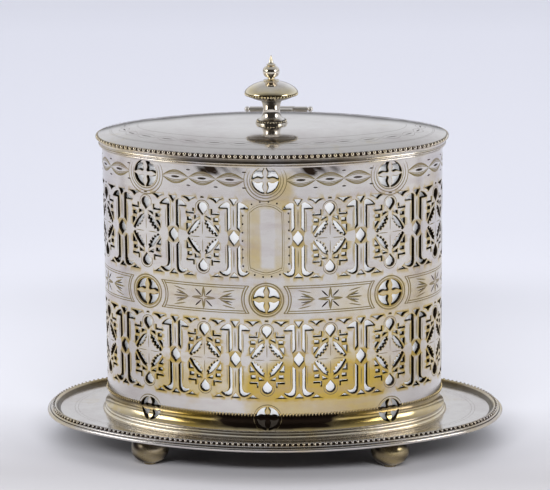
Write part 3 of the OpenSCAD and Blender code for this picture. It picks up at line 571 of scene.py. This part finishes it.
DIAMOND = [(0, 4.1), (2.65, 0.9), (2.65, -0.9), (0, -4.1), (-2.65, -0.9), (-2.65, 0.9)]
TOP_TOOTH = [(-2.3, 20.2), (2.3, 20.2), (0, 16.6)]
LOW_TOOTH = [(-2.4, -20.4), (2.4, -20.4), (0, -17.7)]


def copies(outlines, flips, at):
    """Each outline mirrored by every flip and moved to a place."""
    return [np.asarray(o, float) * flip + at for o in outlines for flip in flips]


openings = [o for z, r in (BASE_ROUNDEL, (MID, ROUNDEL_R), (TOP, ROUNDEL_R))
            for run in ROUNDELS for o in roundel(run, z, r)]
for row in ROWS:
    for bay in range(-7, 8):
        sides = [1, -1] if abs(bay) < 7 else [np.sign(bay)]
        if bay or row == ROWS[0]:
            openings += copies([HOOK, SQUARE, WEDGE, BARB, LEAF, DROP],
                               [(m, v) for m in sides for v in (1, -1)], (bay * BAY, row))
            openings += copies([SPANDREL, LOW_BAR, NOTCH], [(m, 1) for m in sides], (bay * BAY, row))
        if bay < 7:
            openings += copies([DIAMOND, TOP_TOOTH, LOW_TOOTH], [(1, 1)], ((bay + 0.5) * BAY, row))
            openings += copies([SLOT_TOP, SLOT_LOW], ((1, 1), (-1, 1)), ((bay + 0.5) * BAY, row))
wall_flat, wall_net, wall_inward = pierced(WALL_FOOT, WALL_TOP, openings, 1.7, (31.9, 158.4))
wall_points, wall_faces = two_skins(wall_flat, wall_net, wall_inward, np.zeros(len(wall_flat)),
                                    np.where(wall_flat[:, 1] < RIM_LOW, -WALL_THICK, -RIM_THICK))
run, height = np.tile(wall_flat, (2, 1)).T
low_half = 1 / (1 + np.exp((height - 55.5 - 2.5 * np.sin(run / 5)) / 1.6))
low_right = 0.9 * np.exp(-((run - 25) / 38) ** 12)
low_left = 0.25 * (height > 39) * np.exp(-((run + 40) / 26) ** 6)
lower_gold = low_half * np.clip(0.5 + (height - 37.5) / 8, 0.5, 1) * (low_right + low_left)
upper_gold = 0.50 * np.exp(-((run - 8) / 6.5) ** 4 - ((height - 149) / 8) ** 4)
aside, apart = np.abs(run), np.abs(height - ROWS[1])
on_field = (aside <= 7.6) & (apart <= 14.5)
plaque_gold = 0.26 * (aside < 12) * (apart < 21) * ~on_field
field_gold = (0.28 - 0.06 * np.sign(run)) * on_field * (np.abs(run - 0.8) > 3.4)
pillar_gold = 0.30 * (np.abs(aside - BAY / 2) < 2.6) * (np.abs(height - 121) < 17) * (run > 0)
ring_gold = 0.30 * (np.hypot((run + BAY) % (2 * BAY) - BAY, height - MID) < 8.9)
warm = 0.05 + 0.14 * (height > 39) / (1 + np.exp((height - 104) / 2.0)) + 0.05 * np.tanh(run / 30)
at_cut = np.tile(np.any(wall_inward, axis=1), 2)
wall_gold = (warm + (0.46 + 0.14 * (height < 85)) * at_cut + field_gold + lower_gold + upper_gold + plaque_gold
             + pillar_gold + ring_gold)
# Painted shade and dark reflections in the band under the lid on both sides of the front, the edges of the
# openings a little dark with old polish, painted shade at the foot of the wall, and painted shade over the whole
# inner face, which stands between the wall and the liner.
patchy = 0.85 + 0.25 * np.sin(run / 2.7) + 0.2 * np.sin(run / 1.1 + height)
wall_shade_and_soot = patchy * np.exp(-((aside - 26) / 13) ** 2) * np.clip((height - TOP) / 3.6, 0, 1)
wall_shade_and_soot = np.maximum(wall_shade_and_soot, 0.3 * at_cut)
wall_shade_and_soot = np.where(height < 31.5, 0.9, wall_shade_and_soot)
wall_shade_and_soot = np.where(np.arange(len(run)) < len(wall_flat), wall_shade_and_soot, 0.95)
wall = piece("pierced_wall", "box", wall_points, wall_faces, plate, ["body_wall"], tarnish=wall_gold,
             shade_and_soot=wall_shade_and_soot, cut=(cut_shade_and_polish, 2 * len(wall_net)))
polished(wall, lambda z: (np.ones_like(z), np.zeros_like(z)))

# The engraving on the wall: cuts of a graver in the plate, wide in the middle and fine at the ends, darkened by
# old polish. Rings go round the roundels, framed stars lie between them, and a chain of pointed ovals runs
# under the rim. The deepest cuts are black.
groove = worn_plate("darkened_cut", (0.29, 0.235, 0.115), [(0.26, 0.20, 0.08), (0.21, 0.15, 0.045)], 0.30)


def cuts(paths, widths, place):
    """Fine ridges that stand for graver lines: each path of (across, up) points is widened to both sides,
    its middle lifted by a hair, and put on the surface by place(across, up, lift). Widths are given along
    the path."""
    paths = np.asarray(paths, float)
    widths = np.broadcast_to(np.asarray(widths, float), paths.shape[:2])[..., None]
    way = np.gradient(paths, axis=1)
    way /= np.maximum(np.linalg.norm(way, axis=2), 1e-9)[..., None]
    side = np.stack([-way[..., 1], way[..., 0]], -1) * widths / 2
    three = np.stack([paths - side, paths, paths + side], 2).reshape(-1, 2)
    lift = (np.array([-0.03, 0.05, -0.03]) * np.minimum(widths / 0.12, 1)).reshape(-1)
    count, steps = paths.shape[:2]
    faces = lattice(steps, 3, wrap_cols=True) + 3 * steps * np.arange(count)[:, None, None]
    return np.stack(place(three[:, 0], three[:, 1], lift), -1), faces.reshape(-1, 4)


def on_wall(across, up, lift):
    """A point of the wall's face, lifted off it."""
    return (*along_oval(BODY, across, lift), up)


def on_hollow(across, up, lift):
    """A point of the hollow of the base, lifted off it."""
    return (*along_oval(BODY, across, hollow_out(up) + lift), up)


def strokes(starts, ends, count=7):
    """Straight paths between pairs of points."""
    t = np.linspace(0, 1, count)[None, :, None]
    return np.asarray(starts, float)[:, None] * (1 - t) + np.asarray(ends, float)[:, None] * t


def rings(centres, radius, count=49, first=0, last=360):
    """Circles or arcs of one radius about each centre."""
    return np.asarray(centres, float)[:, None] + arc(0, 0, radius, first, last, count)[None]


def taper(width, count):
    """The width of a graver cut along its length, the root of half a sine wave: nothing at both ends, full
    in the middle."""
    return width * np.sqrt(np.sin(np.pi * np.linspace(0, 1, count)))


def ray(at, first, last, width):
    """A straight graver cut on the wall at each place, from first to last as measured from that place."""
    return cuts(strokes(at + first, at + last), taper(width, 7), on_wall)


mid_at = np.stack([ROUNDELS, np.full(7, MID)], -1)
top_at = np.stack([ROUNDELS, np.full(7, TOP)], -1)
low_at = np.stack([ROUNDELS, np.full(7, BASE_ROUNDEL[0])], -1)
star_at = np.stack([BAY * np.arange(-7, 7, 2), np.full(7, MID)], -1)
gold_cuts = [cuts(rings(mid_at, 7.45), 0.8, on_wall), cuts(rings(mid_at, 8.7), 1.1, on_wall),
             cuts(rings(top_at, 7.7, 33, -205, 25), taper(0.9, 33), on_wall),
             cuts(rings(top_at, 9.1, 33, -215, 35), taper(0.8, 33), on_wall),
             cuts(rings(top_at, 10.7, 33, -215, 35), taper(0.9, 33), on_wall),
             cuts(rings(low_at, 7.2, 25, 18, 162), taper(0.9, 25), on_wall),
             cuts(rings(low_at, 7.2, 13, -58, 8), 0.6, on_hollow),
             cuts(rings(low_at, 7.2, 13, 172, 238), 0.6, on_hollow)]
black_cuts = []
for sign in (-1, 1):
    to_side = 90 - 90 * sign
    gold_cuts += [cuts(rings(mid_at, r, 13, to_side - reach, to_side + reach), 1.0, on_wall)
                  for r, reach in ((11.3, 39), (12.5, 34.5))]
    gold_cuts += [cuts(strokes(star_at + (-BAY + short, sign * z), star_at + (BAY - short, sign * z), 25),
                       0.8, on_wall) for z, short in ((5.95, 10.9), (7.1, 8.8))]
    for v in (-1, 1):
        gold_cuts += [ray(star_at, (sign * 0.2, v * 0.7), (sign * 6.6, 0), 1.5),
                      ray(star_at, (v * 0.75, sign * 0.2), (0, sign * 5.8), 1.5),
                      ray(star_at, (sign * 8.4, v * 0.3), (sign * 15.0, v * 3.3), 1.5),
                      ray(star_at, (sign * 9.6, v * 3.3), (sign * 16.6, v * 4.8), 1.0)]
        black_cuts += [ray(star_at, (sign * 1.1, v * 1.1), (sign * 4.6, v * 4.5), 1.3)]
    gold_cuts += [ray(star_at, (sign * 7.4, 0), (sign * 17.0, 0), 1.7)]
    black_cuts += [ray(star_at, (sign * 9.2, v * 0.9), (sign * 15.4, v * 1.7), 0.9) for v in (-1, 1)]
LINK = (2 * BAY - 21) / 3
link_run = (ROUNDELS[:-1, None] + 10.5 + LINK * (np.arange(3) + 0.5)).ravel()
link_at = np.stack([link_run, np.full(18, TOP)], -1)
bow = np.linspace(-1, 1, 17)
for sign in (-1, 1):
    bowed = np.stack([bow * LINK * 0.52, sign * 3.2 * np.cos(bow * np.pi / 2)], -1)
    gold_cuts += [cuts(link_at[:, None] + bowed * k, taper(w, 17), on_wall)
                  for k, w in ((1, 1.1), ((1, 0.76), 0.8), ((0.92, 0.52), 0.6))]
    black_cuts += [ray(link_at, (LINK / 2 - 1.2, sign * 4.0), (LINK / 2 + 1.2, sign * 4.0), 1.1)]
black_cuts += [ray(link_at, (-2.5, 0), (2.5, 0), 1.7)]
panel_at = np.array([(bay * BAY, row) for row in ROWS for bay in range(-6, 7) if bay or row == ROWS[0]])
pillar_at = np.array([((bay + 0.5) * BAY, row) for row in ROWS for bay in range(-7, 7)])
for sign in (-1, 1):
    drop_arc = (-40, 220) if sign > 0 else (140, 400)
    gold_cuts += [cuts(rings(panel_at + (0, sign * 15.3), 3.6, 21, *drop_arc), taper(0.7, 21), on_wall)]
    gold_cuts += [ray(pillar_at, (sign * 4.3, v * 3.6), (sign * 4.3, v * 14.0), 0.55) for v in (-1, 1)]
    gold_cuts += [ray(pillar_at, (0, sign * 5.5), (0, sign * 15.4), 0.9),
                  ray(panel_at, (0, sign * 1.0), (0, sign * 8.5), 0.6),
                  ray(panel_at, (sign * 1.0, 0), (sign * 7.2, 0), 0.6)]
piece("wall_engraving", "box", *joined(gold_cuts), groove, tarnish=0.2, shade_and_soot=0.15)
piece("wall_deep_cuts", "box", *joined(black_cuts), cut_shade_and_polish)

# The blank plaque on the front: a bare field of the wall's own sheet, left without openings, in a frame of two
# cut lines, with a row of dots punched round it.
PLAQUE = [(-8.2, -12.5), (-8.2, 11.0), (-7.2, 14.0), (-4.0, 16.2), (0, 17.0), (4.0, 16.2), (7.2, 14.0),
          (8.2, 11.0), (8.2, -12.5), (6.8, -15.2), (3.6, -16.6), (0, -17.4), (-3.6, -16.6), (-6.8, -15.2)]
PLAQUE_AT, DOT_PITCH = (0, ROWS[1]), 4.3
frame_line = smooth_loop(PLAQUE, 6) + PLAQUE_AT
frame_line = np.vstack([frame_line, frame_line[:1]])[None]
outer_line = (frame_line - PLAQUE_AT) * (1.1, 1.06) + PLAQUE_AT
dot_path = smooth_loop(np.array(PLAQUE) * (1.4, 1.13), 12) + PLAQUE_AT
dot_way = np.r_[0, np.cumsum(np.linalg.norm(np.diff(dot_path, axis=0, append=dot_path[:1]), axis=1))]
dot_count = round(dot_way[-1] / DOT_PITCH)
dot_step = np.arange(dot_count) / dot_count * dot_way[-1]
dot_line = np.stack([np.interp(dot_step, dot_way, np.r_[c, c[:1]]) for c in dot_path.T], -1)
dot_x, dot_y = along_oval(BODY, dot_line[:, 0], 0.02)
plaque_frame = joined([cuts(frame_line, 0.55, on_wall), cuts(outer_line, 0.3, on_wall)])
piece("plaque_frame", "box", *plaque_frame, groove, tarnish=0.25)
dots = balls(np.stack([dot_x, dot_y, dot_line[:, 1]], -1), 0.5)
piece("plaque_dots", "box", *dots, cut_shade_and_polish)

# The milled edge: a fine plated wire, notched all along with a milling wheel and soldered over the joint between
# wall and base. The roundels break it.
NOTCHES = 277
milled_run = np.arange(-138, 139) * ROUND / NOTCHES
milled_run = milled_run[np.min(np.abs(milled_run[:, None] - ROUNDELS), axis=1) > 6.0]
milled_x, milled_y = along_oval(BODY, milled_run, 0.1)
milled = balls(np.stack([milled_x, milled_y, np.full(len(milled_x), WALL_FOOT)], -1),
               np.array([0.52, 0.52, 0.95]))
piece("milled_edge", "box", *milled, plate, tarnish=0.55)

# The rim: half-round brass wire, plated, bent to the oval and soldered along the top edge of the wall, which
# it stiffens.
rim_profile = np.vstack([[(-0.9, WALL_TOP)], arc(-0.5, 160.05, 1.0, -40, 40, 9), [(-0.9, 160.7)]])
piece("rim_half_round", "box", *carried(BODY, rim_profile), plate, ["rim_wire"], tarnish=0.18)

# The hinge: two leaves with knuckles, soldered to the back of the box and of the lid, on a pin with ball ends.
# All are plain plated brass and stay as the CAD has them.
hinge_plate = worn_plate("dull_hinge_plate", (0.86, 0.83, 0.77), [(0.76, 0.68, 0.48), (0.6, 0.48, 0.24)], 0.42)
dressed(hinge_plate, "hinge_body_leaf", "hinge_lid_leaf", "hinge_pin")

# The lid: a sheet of plated brass raised to a shallow dome with a level middle, its edge rolled. Faint lines and
# a chain of pointed ovals with dashes are engraved round it.
DOME_R, LID_TOP = 156.57, 171.6
END_R = 38.5
WAVES, WAVE_OUT = 31, -11.4


def dome(out):
    """The upper face of the lid: a circle that is level where the end arcs shrink to their centres."""
    return LID_TOP - DOME_R + np.sqrt(DOME_R ** 2 - np.maximum(out + END_R, 0) ** 2)


lid_finish = worn_plate("polished_lid_plate", SILVER, GILT, 0.09)
level_out = -END_R + 0.02
lid_outs = np.linspace(level_out, 1.9, 30)
lid_rings = ([(level_out, LID_TOP - 1, k) for k in (0, 0.25, 0.5, 0.75)]
             + [(o, dome(o) - 1, 1) for o in lid_outs] + [(2.2, 165.2, 1), (2.3, 165.5, 1), (2.2, 165.9, 1)]
             + [(o, dome(o), 1) for o in lid_outs[::-1]] + [(level_out, LID_TOP, k) for k in (0.75, 0.5, 0.25, 0)])
lid_points, lid_faces = oval_sheet(BODY, lid_rings, STATIONS)
lid_x, lid_y, lid_z = lid_points.T
# Painted shade on the front of the lid's rolled edge.
front_rim_shade = (np.abs(lid_z - 165.55) < 0.4) & (np.hypot(lid_x, lid_y) > 50) & (lid_y < 0)
piece("lid_dome", "lid", lid_points, lid_faces, lid_finish, ["lid_plate"], tarnish=0.02, shade_and_soot=0.9 * front_rim_shade)


def on_lid(across, out, lift):
    """A point of the lid's upper face, lifted off it."""
    return (*along_oval(BODY, across, out), dome(out) + lift)


around = np.linspace(0, ROUND, 241)
lid_lines = [cuts(np.stack([around, np.full(241, out)], -1)[None], 0.32, on_lid) for out in (-4.2, -5.0, -18.6)]
wave_at = np.stack([np.arange(WAVES) * ROUND / WAVES, np.full(WAVES, WAVE_OUT)], -1)
for sign in (-1, 1):
    wave = np.stack([bow * ROUND / (2 * WAVES), sign * 2.6 * np.cos(bow * np.pi / 2)], -1)
    lid_lines += [cuts(wave_at[:, None] + wave, taper(0.5, 17), on_lid)]
lid_dashes = cuts(strokes(wave_at - (3.8, 0), wave_at + (3.8, 0)), taper(1.3, 7), on_lid)
piece("lid_deep_cuts", "lid", *lid_dashes, scribed, shade_and_soot=0.62)
piece("lid_engraving", "lid", *joined(lid_lines), scribed, shade_and_soot=0.3)

# The lid edge: a drawn moulding of plated brass soldered under the lid, with a bead row in its seat, and inside
# it the bezel, a plain upright strip that guides the lid into the wall.
lid_edge_profile = np.array([
    (-1.45, 161.1), (1.5, 161.1), (1.78, 161.25), (1.85, 161.5), (1.78, 161.75), (1.5, 161.9), (1.28, 162.3),
    (1.22, 162.9), (1.35, 163.5), (1.65, 164.0), (2.0, 164.35), (2.0, 165.25), (-1.45, 165.6)])
lid_edge_points, lid_edge_faces = carried(BODY, lid_edge_profile)
edge_x, edge_y, edge_z = lid_edge_points.T
edge_front = np.clip((78 - np.abs(edge_x)) / 40, 0, 1) * (edge_y < 0)
# Painted shade black round the bead row, and the hollow of the moulding painted darker at the front as a dark
# reflection.
lid_edge_shade = np.select([edge_z > 164.2, np.abs(edge_z - 162.9) < 1.05],
                          [1.0, 0.12 + 0.62 * edge_front], 0.05)
piece("lid_edge", "lid", lid_edge_points, lid_edge_faces, plate, ["lid_border"], tarnish=0.22,
      shade_and_soot=lid_edge_shade)
piece("lid_bead_row", "lid", *bead_row(BODY + 2.25, 165.25, 1.1, 2.95), plate, ["lid_beads"], tarnish=0.28)
bezel_profile = [(-2.3, 157.7), (-2.1, 157.5), (-1.7, 157.5), (-1.5, 157.7), (-1.5, 165.6), (-2.3, 165.7)]
piece("lid_guide", "lid", *carried(BODY, bezel_profile, 240), plate, ["lid_bezel"], tarnish=0.1)

# The finial: three plated brass turnings on a threaded stud: a beaded foot with a hollow waist, a domed cap with
# a beaded brim, and a ball with a spire. A washer and a nut under the lid pull them tight.
FOOT_BEADS, BRIM_BEADS = (7.4, 172.8, 0.5, 32), (13.2, 186.85, 0.68, 50)
base_turn = [
    (0, 171.6), (8.3, 171.6), (8.4, 171.9), (8.3, 172.2), (7.6, 172.3), (7.3, 173.0), (7.1, 173.35), (6.4, 173.6),
    (5.5, 174.4), (4.85, 175.6), (4.5, 177.2), (4.4, 178.9), (4.5, 180.5), (4.85, 182.0), (5.4, 183.2),
    (5.5, 183.6), (0, 183.6)]
dome_turn = [
    (0, 183.6), (5.6, 183.6), (8.4, 184.2), (10.6, 185.1), (12.0, 185.8), (12.6, 186.15), (12.65, 187.5),
    (13.5, 187.6), (13.8, 187.75), (13.75, 188.0), (13.5, 188.4), (13.1, 188.95), (12.5, 189.55), (11.7, 190.2),
    (10.6, 190.9), (9.2, 191.65), (7.6, 192.3), (5.9, 192.85), (4.4, 193.2), (3.95, 193.4), (0, 193.4)]
spire_turn = [
    (0, 193.4), (3.95, 193.4), (4.1, 193.65), (3.9, 193.95), (2.6, 194.15), (1.85, 194.6), (1.7, 195.0),
    (2.3, 195.4), (3.5, 196.0), (4.05, 196.9), (4.35, 198.0), (4.35, 198.9), (4.05, 199.8), (3.6, 200.4),
    (3.3, 200.5), (3.2, 200.7), (2.8, 201.1), (2.2, 201.4), (1.7, 201.6), (2.4, 201.75), (2.5, 201.95),
    (2.3, 202.15), (1.5, 202.5), (1.15, 203.2), (0.8, 204.6), (0.45, 206.0), (0.22, 206.6), (0, 206.8)]
turned_plate = worn_plate("bright_turned_plate", (0.80, 0.77, 0.72), [(0.74, 0.63, 0.38), (0.64, 0.47, 0.15)],
                          0.06)
for name, profile, stood_for, gilt in (("finial_base", base_turn, "finial_foot", 0.24),
                                       ("finial_dome", dome_turn, "finial_cap", 0.2),
                                       ("finial_spire", spire_turn, "finial_tip", 0.32)):
    part_points, part_faces = turned(profile, segments=72)
    from_axis, level = np.hypot(part_points[:, 0], part_points[:, 1]), part_points[:, 2]
    # The seats of both bead rows are painted dark as shade, and the top of the waist and the underside of the cap
    # carry painted shade.
    foot_seat = (np.abs(level - FOOT_BEADS[1]) < 0.6) & (from_axis < 8.0)
    brim_seat = (level > 186.1) & (level < 187.55) & (from_axis > 12.5)
    shade = 0.6 * ((level > 182.5) & (level < 186.1) & (from_axis < 12.5))
    piece(name, "lid", part_points, part_faces, turned_plate, [stood_for],
          tarnish=gilt + 0.25 * (from_axis / 14) ** 3, shade_and_soot=np.maximum(foot_seat | brim_seat, shade), sharp=50)
for name, (radius, level, size, count) in (("finial_base_beads", FOOT_BEADS), ("finial_brim_beads", BRIM_BEADS)):
    spin = np.arange(count) / count * 2 * np.pi
    ring = np.stack([radius * np.cos(spin), radius * np.sin(spin), np.full(count, level)], -1)
    piece(name, "lid", *balls(ring, size), turned_plate, tarnish=0.42)
dressed(bare_brass, "finial_stud", "finial_washer", "finial_nut")

# The studio: a pale paper floor that runs far behind the box, its colour painted darker towards the front, with a
# band of painted shadow under the front of the tray and brighter far behind; a soft lamp at each side and one
# above, and a pale room that is dark only towards the camera. One lamp lights the paper alone, and one the liner
# alone.
paper = bpy.data.materials.new("pale_paper")
paper.use_nodes = True
paper_tree = paper.node_tree
paper_shader = paper_tree.nodes["Principled BSDF"]
paper_place = node(paper_tree, "TexCoord").outputs["Object"]
depth = node(paper_tree, "SeparateXYZ", {0: paper_place}).outputs["Y"]
depth = node(paper_tree, "MapRange", {"Value": depth, "From Min": -0.8, "From Max": 1.6}).outputs[0]
# The paper's colour by depth carries painted light: darker at the front, a band of painted shadow under the tray's
# front, brighter far behind.
paper_colour_and_shade = stops(node(paper_tree, "ValToRGB", {"Fac": depth}), (0.0, (0.46, 0.46, 0.48)),
                     (0.15, (0.54, 0.54, 0.56)), (0.26, (0.64, 0.635, 0.65)), (0.31, (0.47, 0.46, 0.48)),
                     (0.36, (0.69, 0.69, 0.735)), (0.54, (0.695, 0.70, 0.77)), (0.9, (0.87, 0.875, 0.965)))
paper_tree.links.new(paper_colour_and_shade.outputs["Color"], paper_shader.inputs["Base Color"])
paper_shader.inputs["Roughness"].default_value = 0.9
floor_mesh = bpy.data.meshes.new("paper_floor")
reach = 6
floor_mesh.from_pydata([(-reach, -reach, 0), (reach, -reach, 0), (reach, reach, 0), (-reach, reach, 0)], [],
                       [(0, 1, 2, 3)])
floor_mesh.materials.append(paper)
floor = bpy.data.objects.new("paper_floor", floor_mesh)
bpy.context.scene.collection.objects.link(floor)


def lamp(name, kind, place, aim, watts, colour, only=None, **shape):
    """A lamp that faces a point. A lamp for one object only stays out of the reflections."""
    data = bpy.data.lights.new(name, kind)
    data.energy, data.color = watts, colour
    for key, value in shape.items():
        setattr(data, key, value)
    made = bpy.data.objects.new(name, data)
    made.location = place
    made.rotation_euler = (Vector(aim) - Vector(place)).to_track_quat("-Z", "Y").to_euler()
    bpy.context.scene.collection.objects.link(made)
    if only:
        made.visible_glossy = made.visible_camera = False
        made.light_linking.receiver_collection = bpy.data.collections.new("lit_by_" + name)
        made.light_linking.receiver_collection.objects.link(only)
    return made


WARM_WHITE, COOL_WHITE = (1.0, 0.98, 0.95), (0.97, 0.98, 1.0)
for side in (-1, 1):
    lamp("side_lamp", "AREA", (1.75 * side, -0.8, 0.9), (0, 0, 0.1), 10, WARM_WHITE, size=0.85)
lamp("top_lamp", "AREA", (0, -0.8, 2.1), (0, -0.1, 0.1), 20, COOL_WHITE, size=2.0).visible_glossy = False
lamp("paper_lamp", "AREA", (0, -3.4, 2.15), (0, 0, 0), 172, COOL_WHITE, floor,
     shape="RECTANGLE", size=4.0, size_y=0.4)
beam = lamp("liner_lamp", "SPOT", (0.104, -1.626, 0.348), (0, 0, 0.09), 71, COOL_WHITE, liner,
            spot_size=math.radians(6.9), spot_blend=0.3, shadow_soft_size=0.06)
beam.scale = (1, 2.1, 1)
world = bpy.data.worlds.new("pale_room")
world.use_nodes = True
room = world.node_tree
way = node(room, "SeparateXYZ", {0: node(room, "TexCoord").outputs["Generated"]})


def ramp(value, first, last, low=0.0, high=1.0):
    """Goes from low to high, in a straight line, while a part of the room's direction goes from first to last."""
    return node(room, "MapRange", {"Value": value, "From Min": first, "From Max": last, "To Min": low,
                                   "To Max": high}).outputs[0]


front = ramp(way.outputs["Y"], -0.62, -0.05)
above = ramp(way.outputs["Z"], 0.30, 0.75, 1.0, 0.6)
horizon = ramp(way.outputs["Z"], 0.02, 0.15, 0.15)
glow = node(room, "Math", {0: front, 1: above}, operation="MULTIPLY").outputs[0]
glow = node(room, "Math", {0: glow, 1: horizon}, operation="MULTIPLY").outputs[0]
tint = stops(node(room, "ValToRGB", {"Fac": glow}), (0.0, (0.045, 0.042, 0.04)), (1.0, (0.83, 0.85, 0.90)))
room.links.new(tint.outputs["Color"], room.nodes["Background"].inputs["Color"])
bpy.context.scene.world = world
bpy.context.scene.view_settings.view_transform = "Standard"

# The camera stands 1.4 m off, a little to the right of the front, and looks down at the box through a long lens.
# Its shift is in pixels of the picture's width.
IMAGE_WIDTH = 550
swing, rise, roll = math.radians(3.65), math.radians(13.65), math.radians(-0.55)
far, target = 1.39, Vector((0, 0, 0.1064))
camera_data = bpy.data.cameras.new("camera")
camera_data.lens, camera_data.sensor_width = 174.5, 36
camera_data.shift_x, camera_data.shift_y = 2.2 / IMAGE_WIDTH, 0.45 / IMAGE_WIDTH
camera = bpy.data.objects.new("camera", camera_data)
back = Vector((math.sin(swing) * math.cos(rise), -math.cos(swing) * math.cos(rise), math.sin(rise)))
camera.location = target + far * back
camera.rotation_euler = ((-back).to_track_quat("-Z", "Y") @ Quaternion((0, 0, 1), roll)).to_euler()
bpy.context.scene.collection.objects.link(camera)
bpy.context.scene.camera = camera
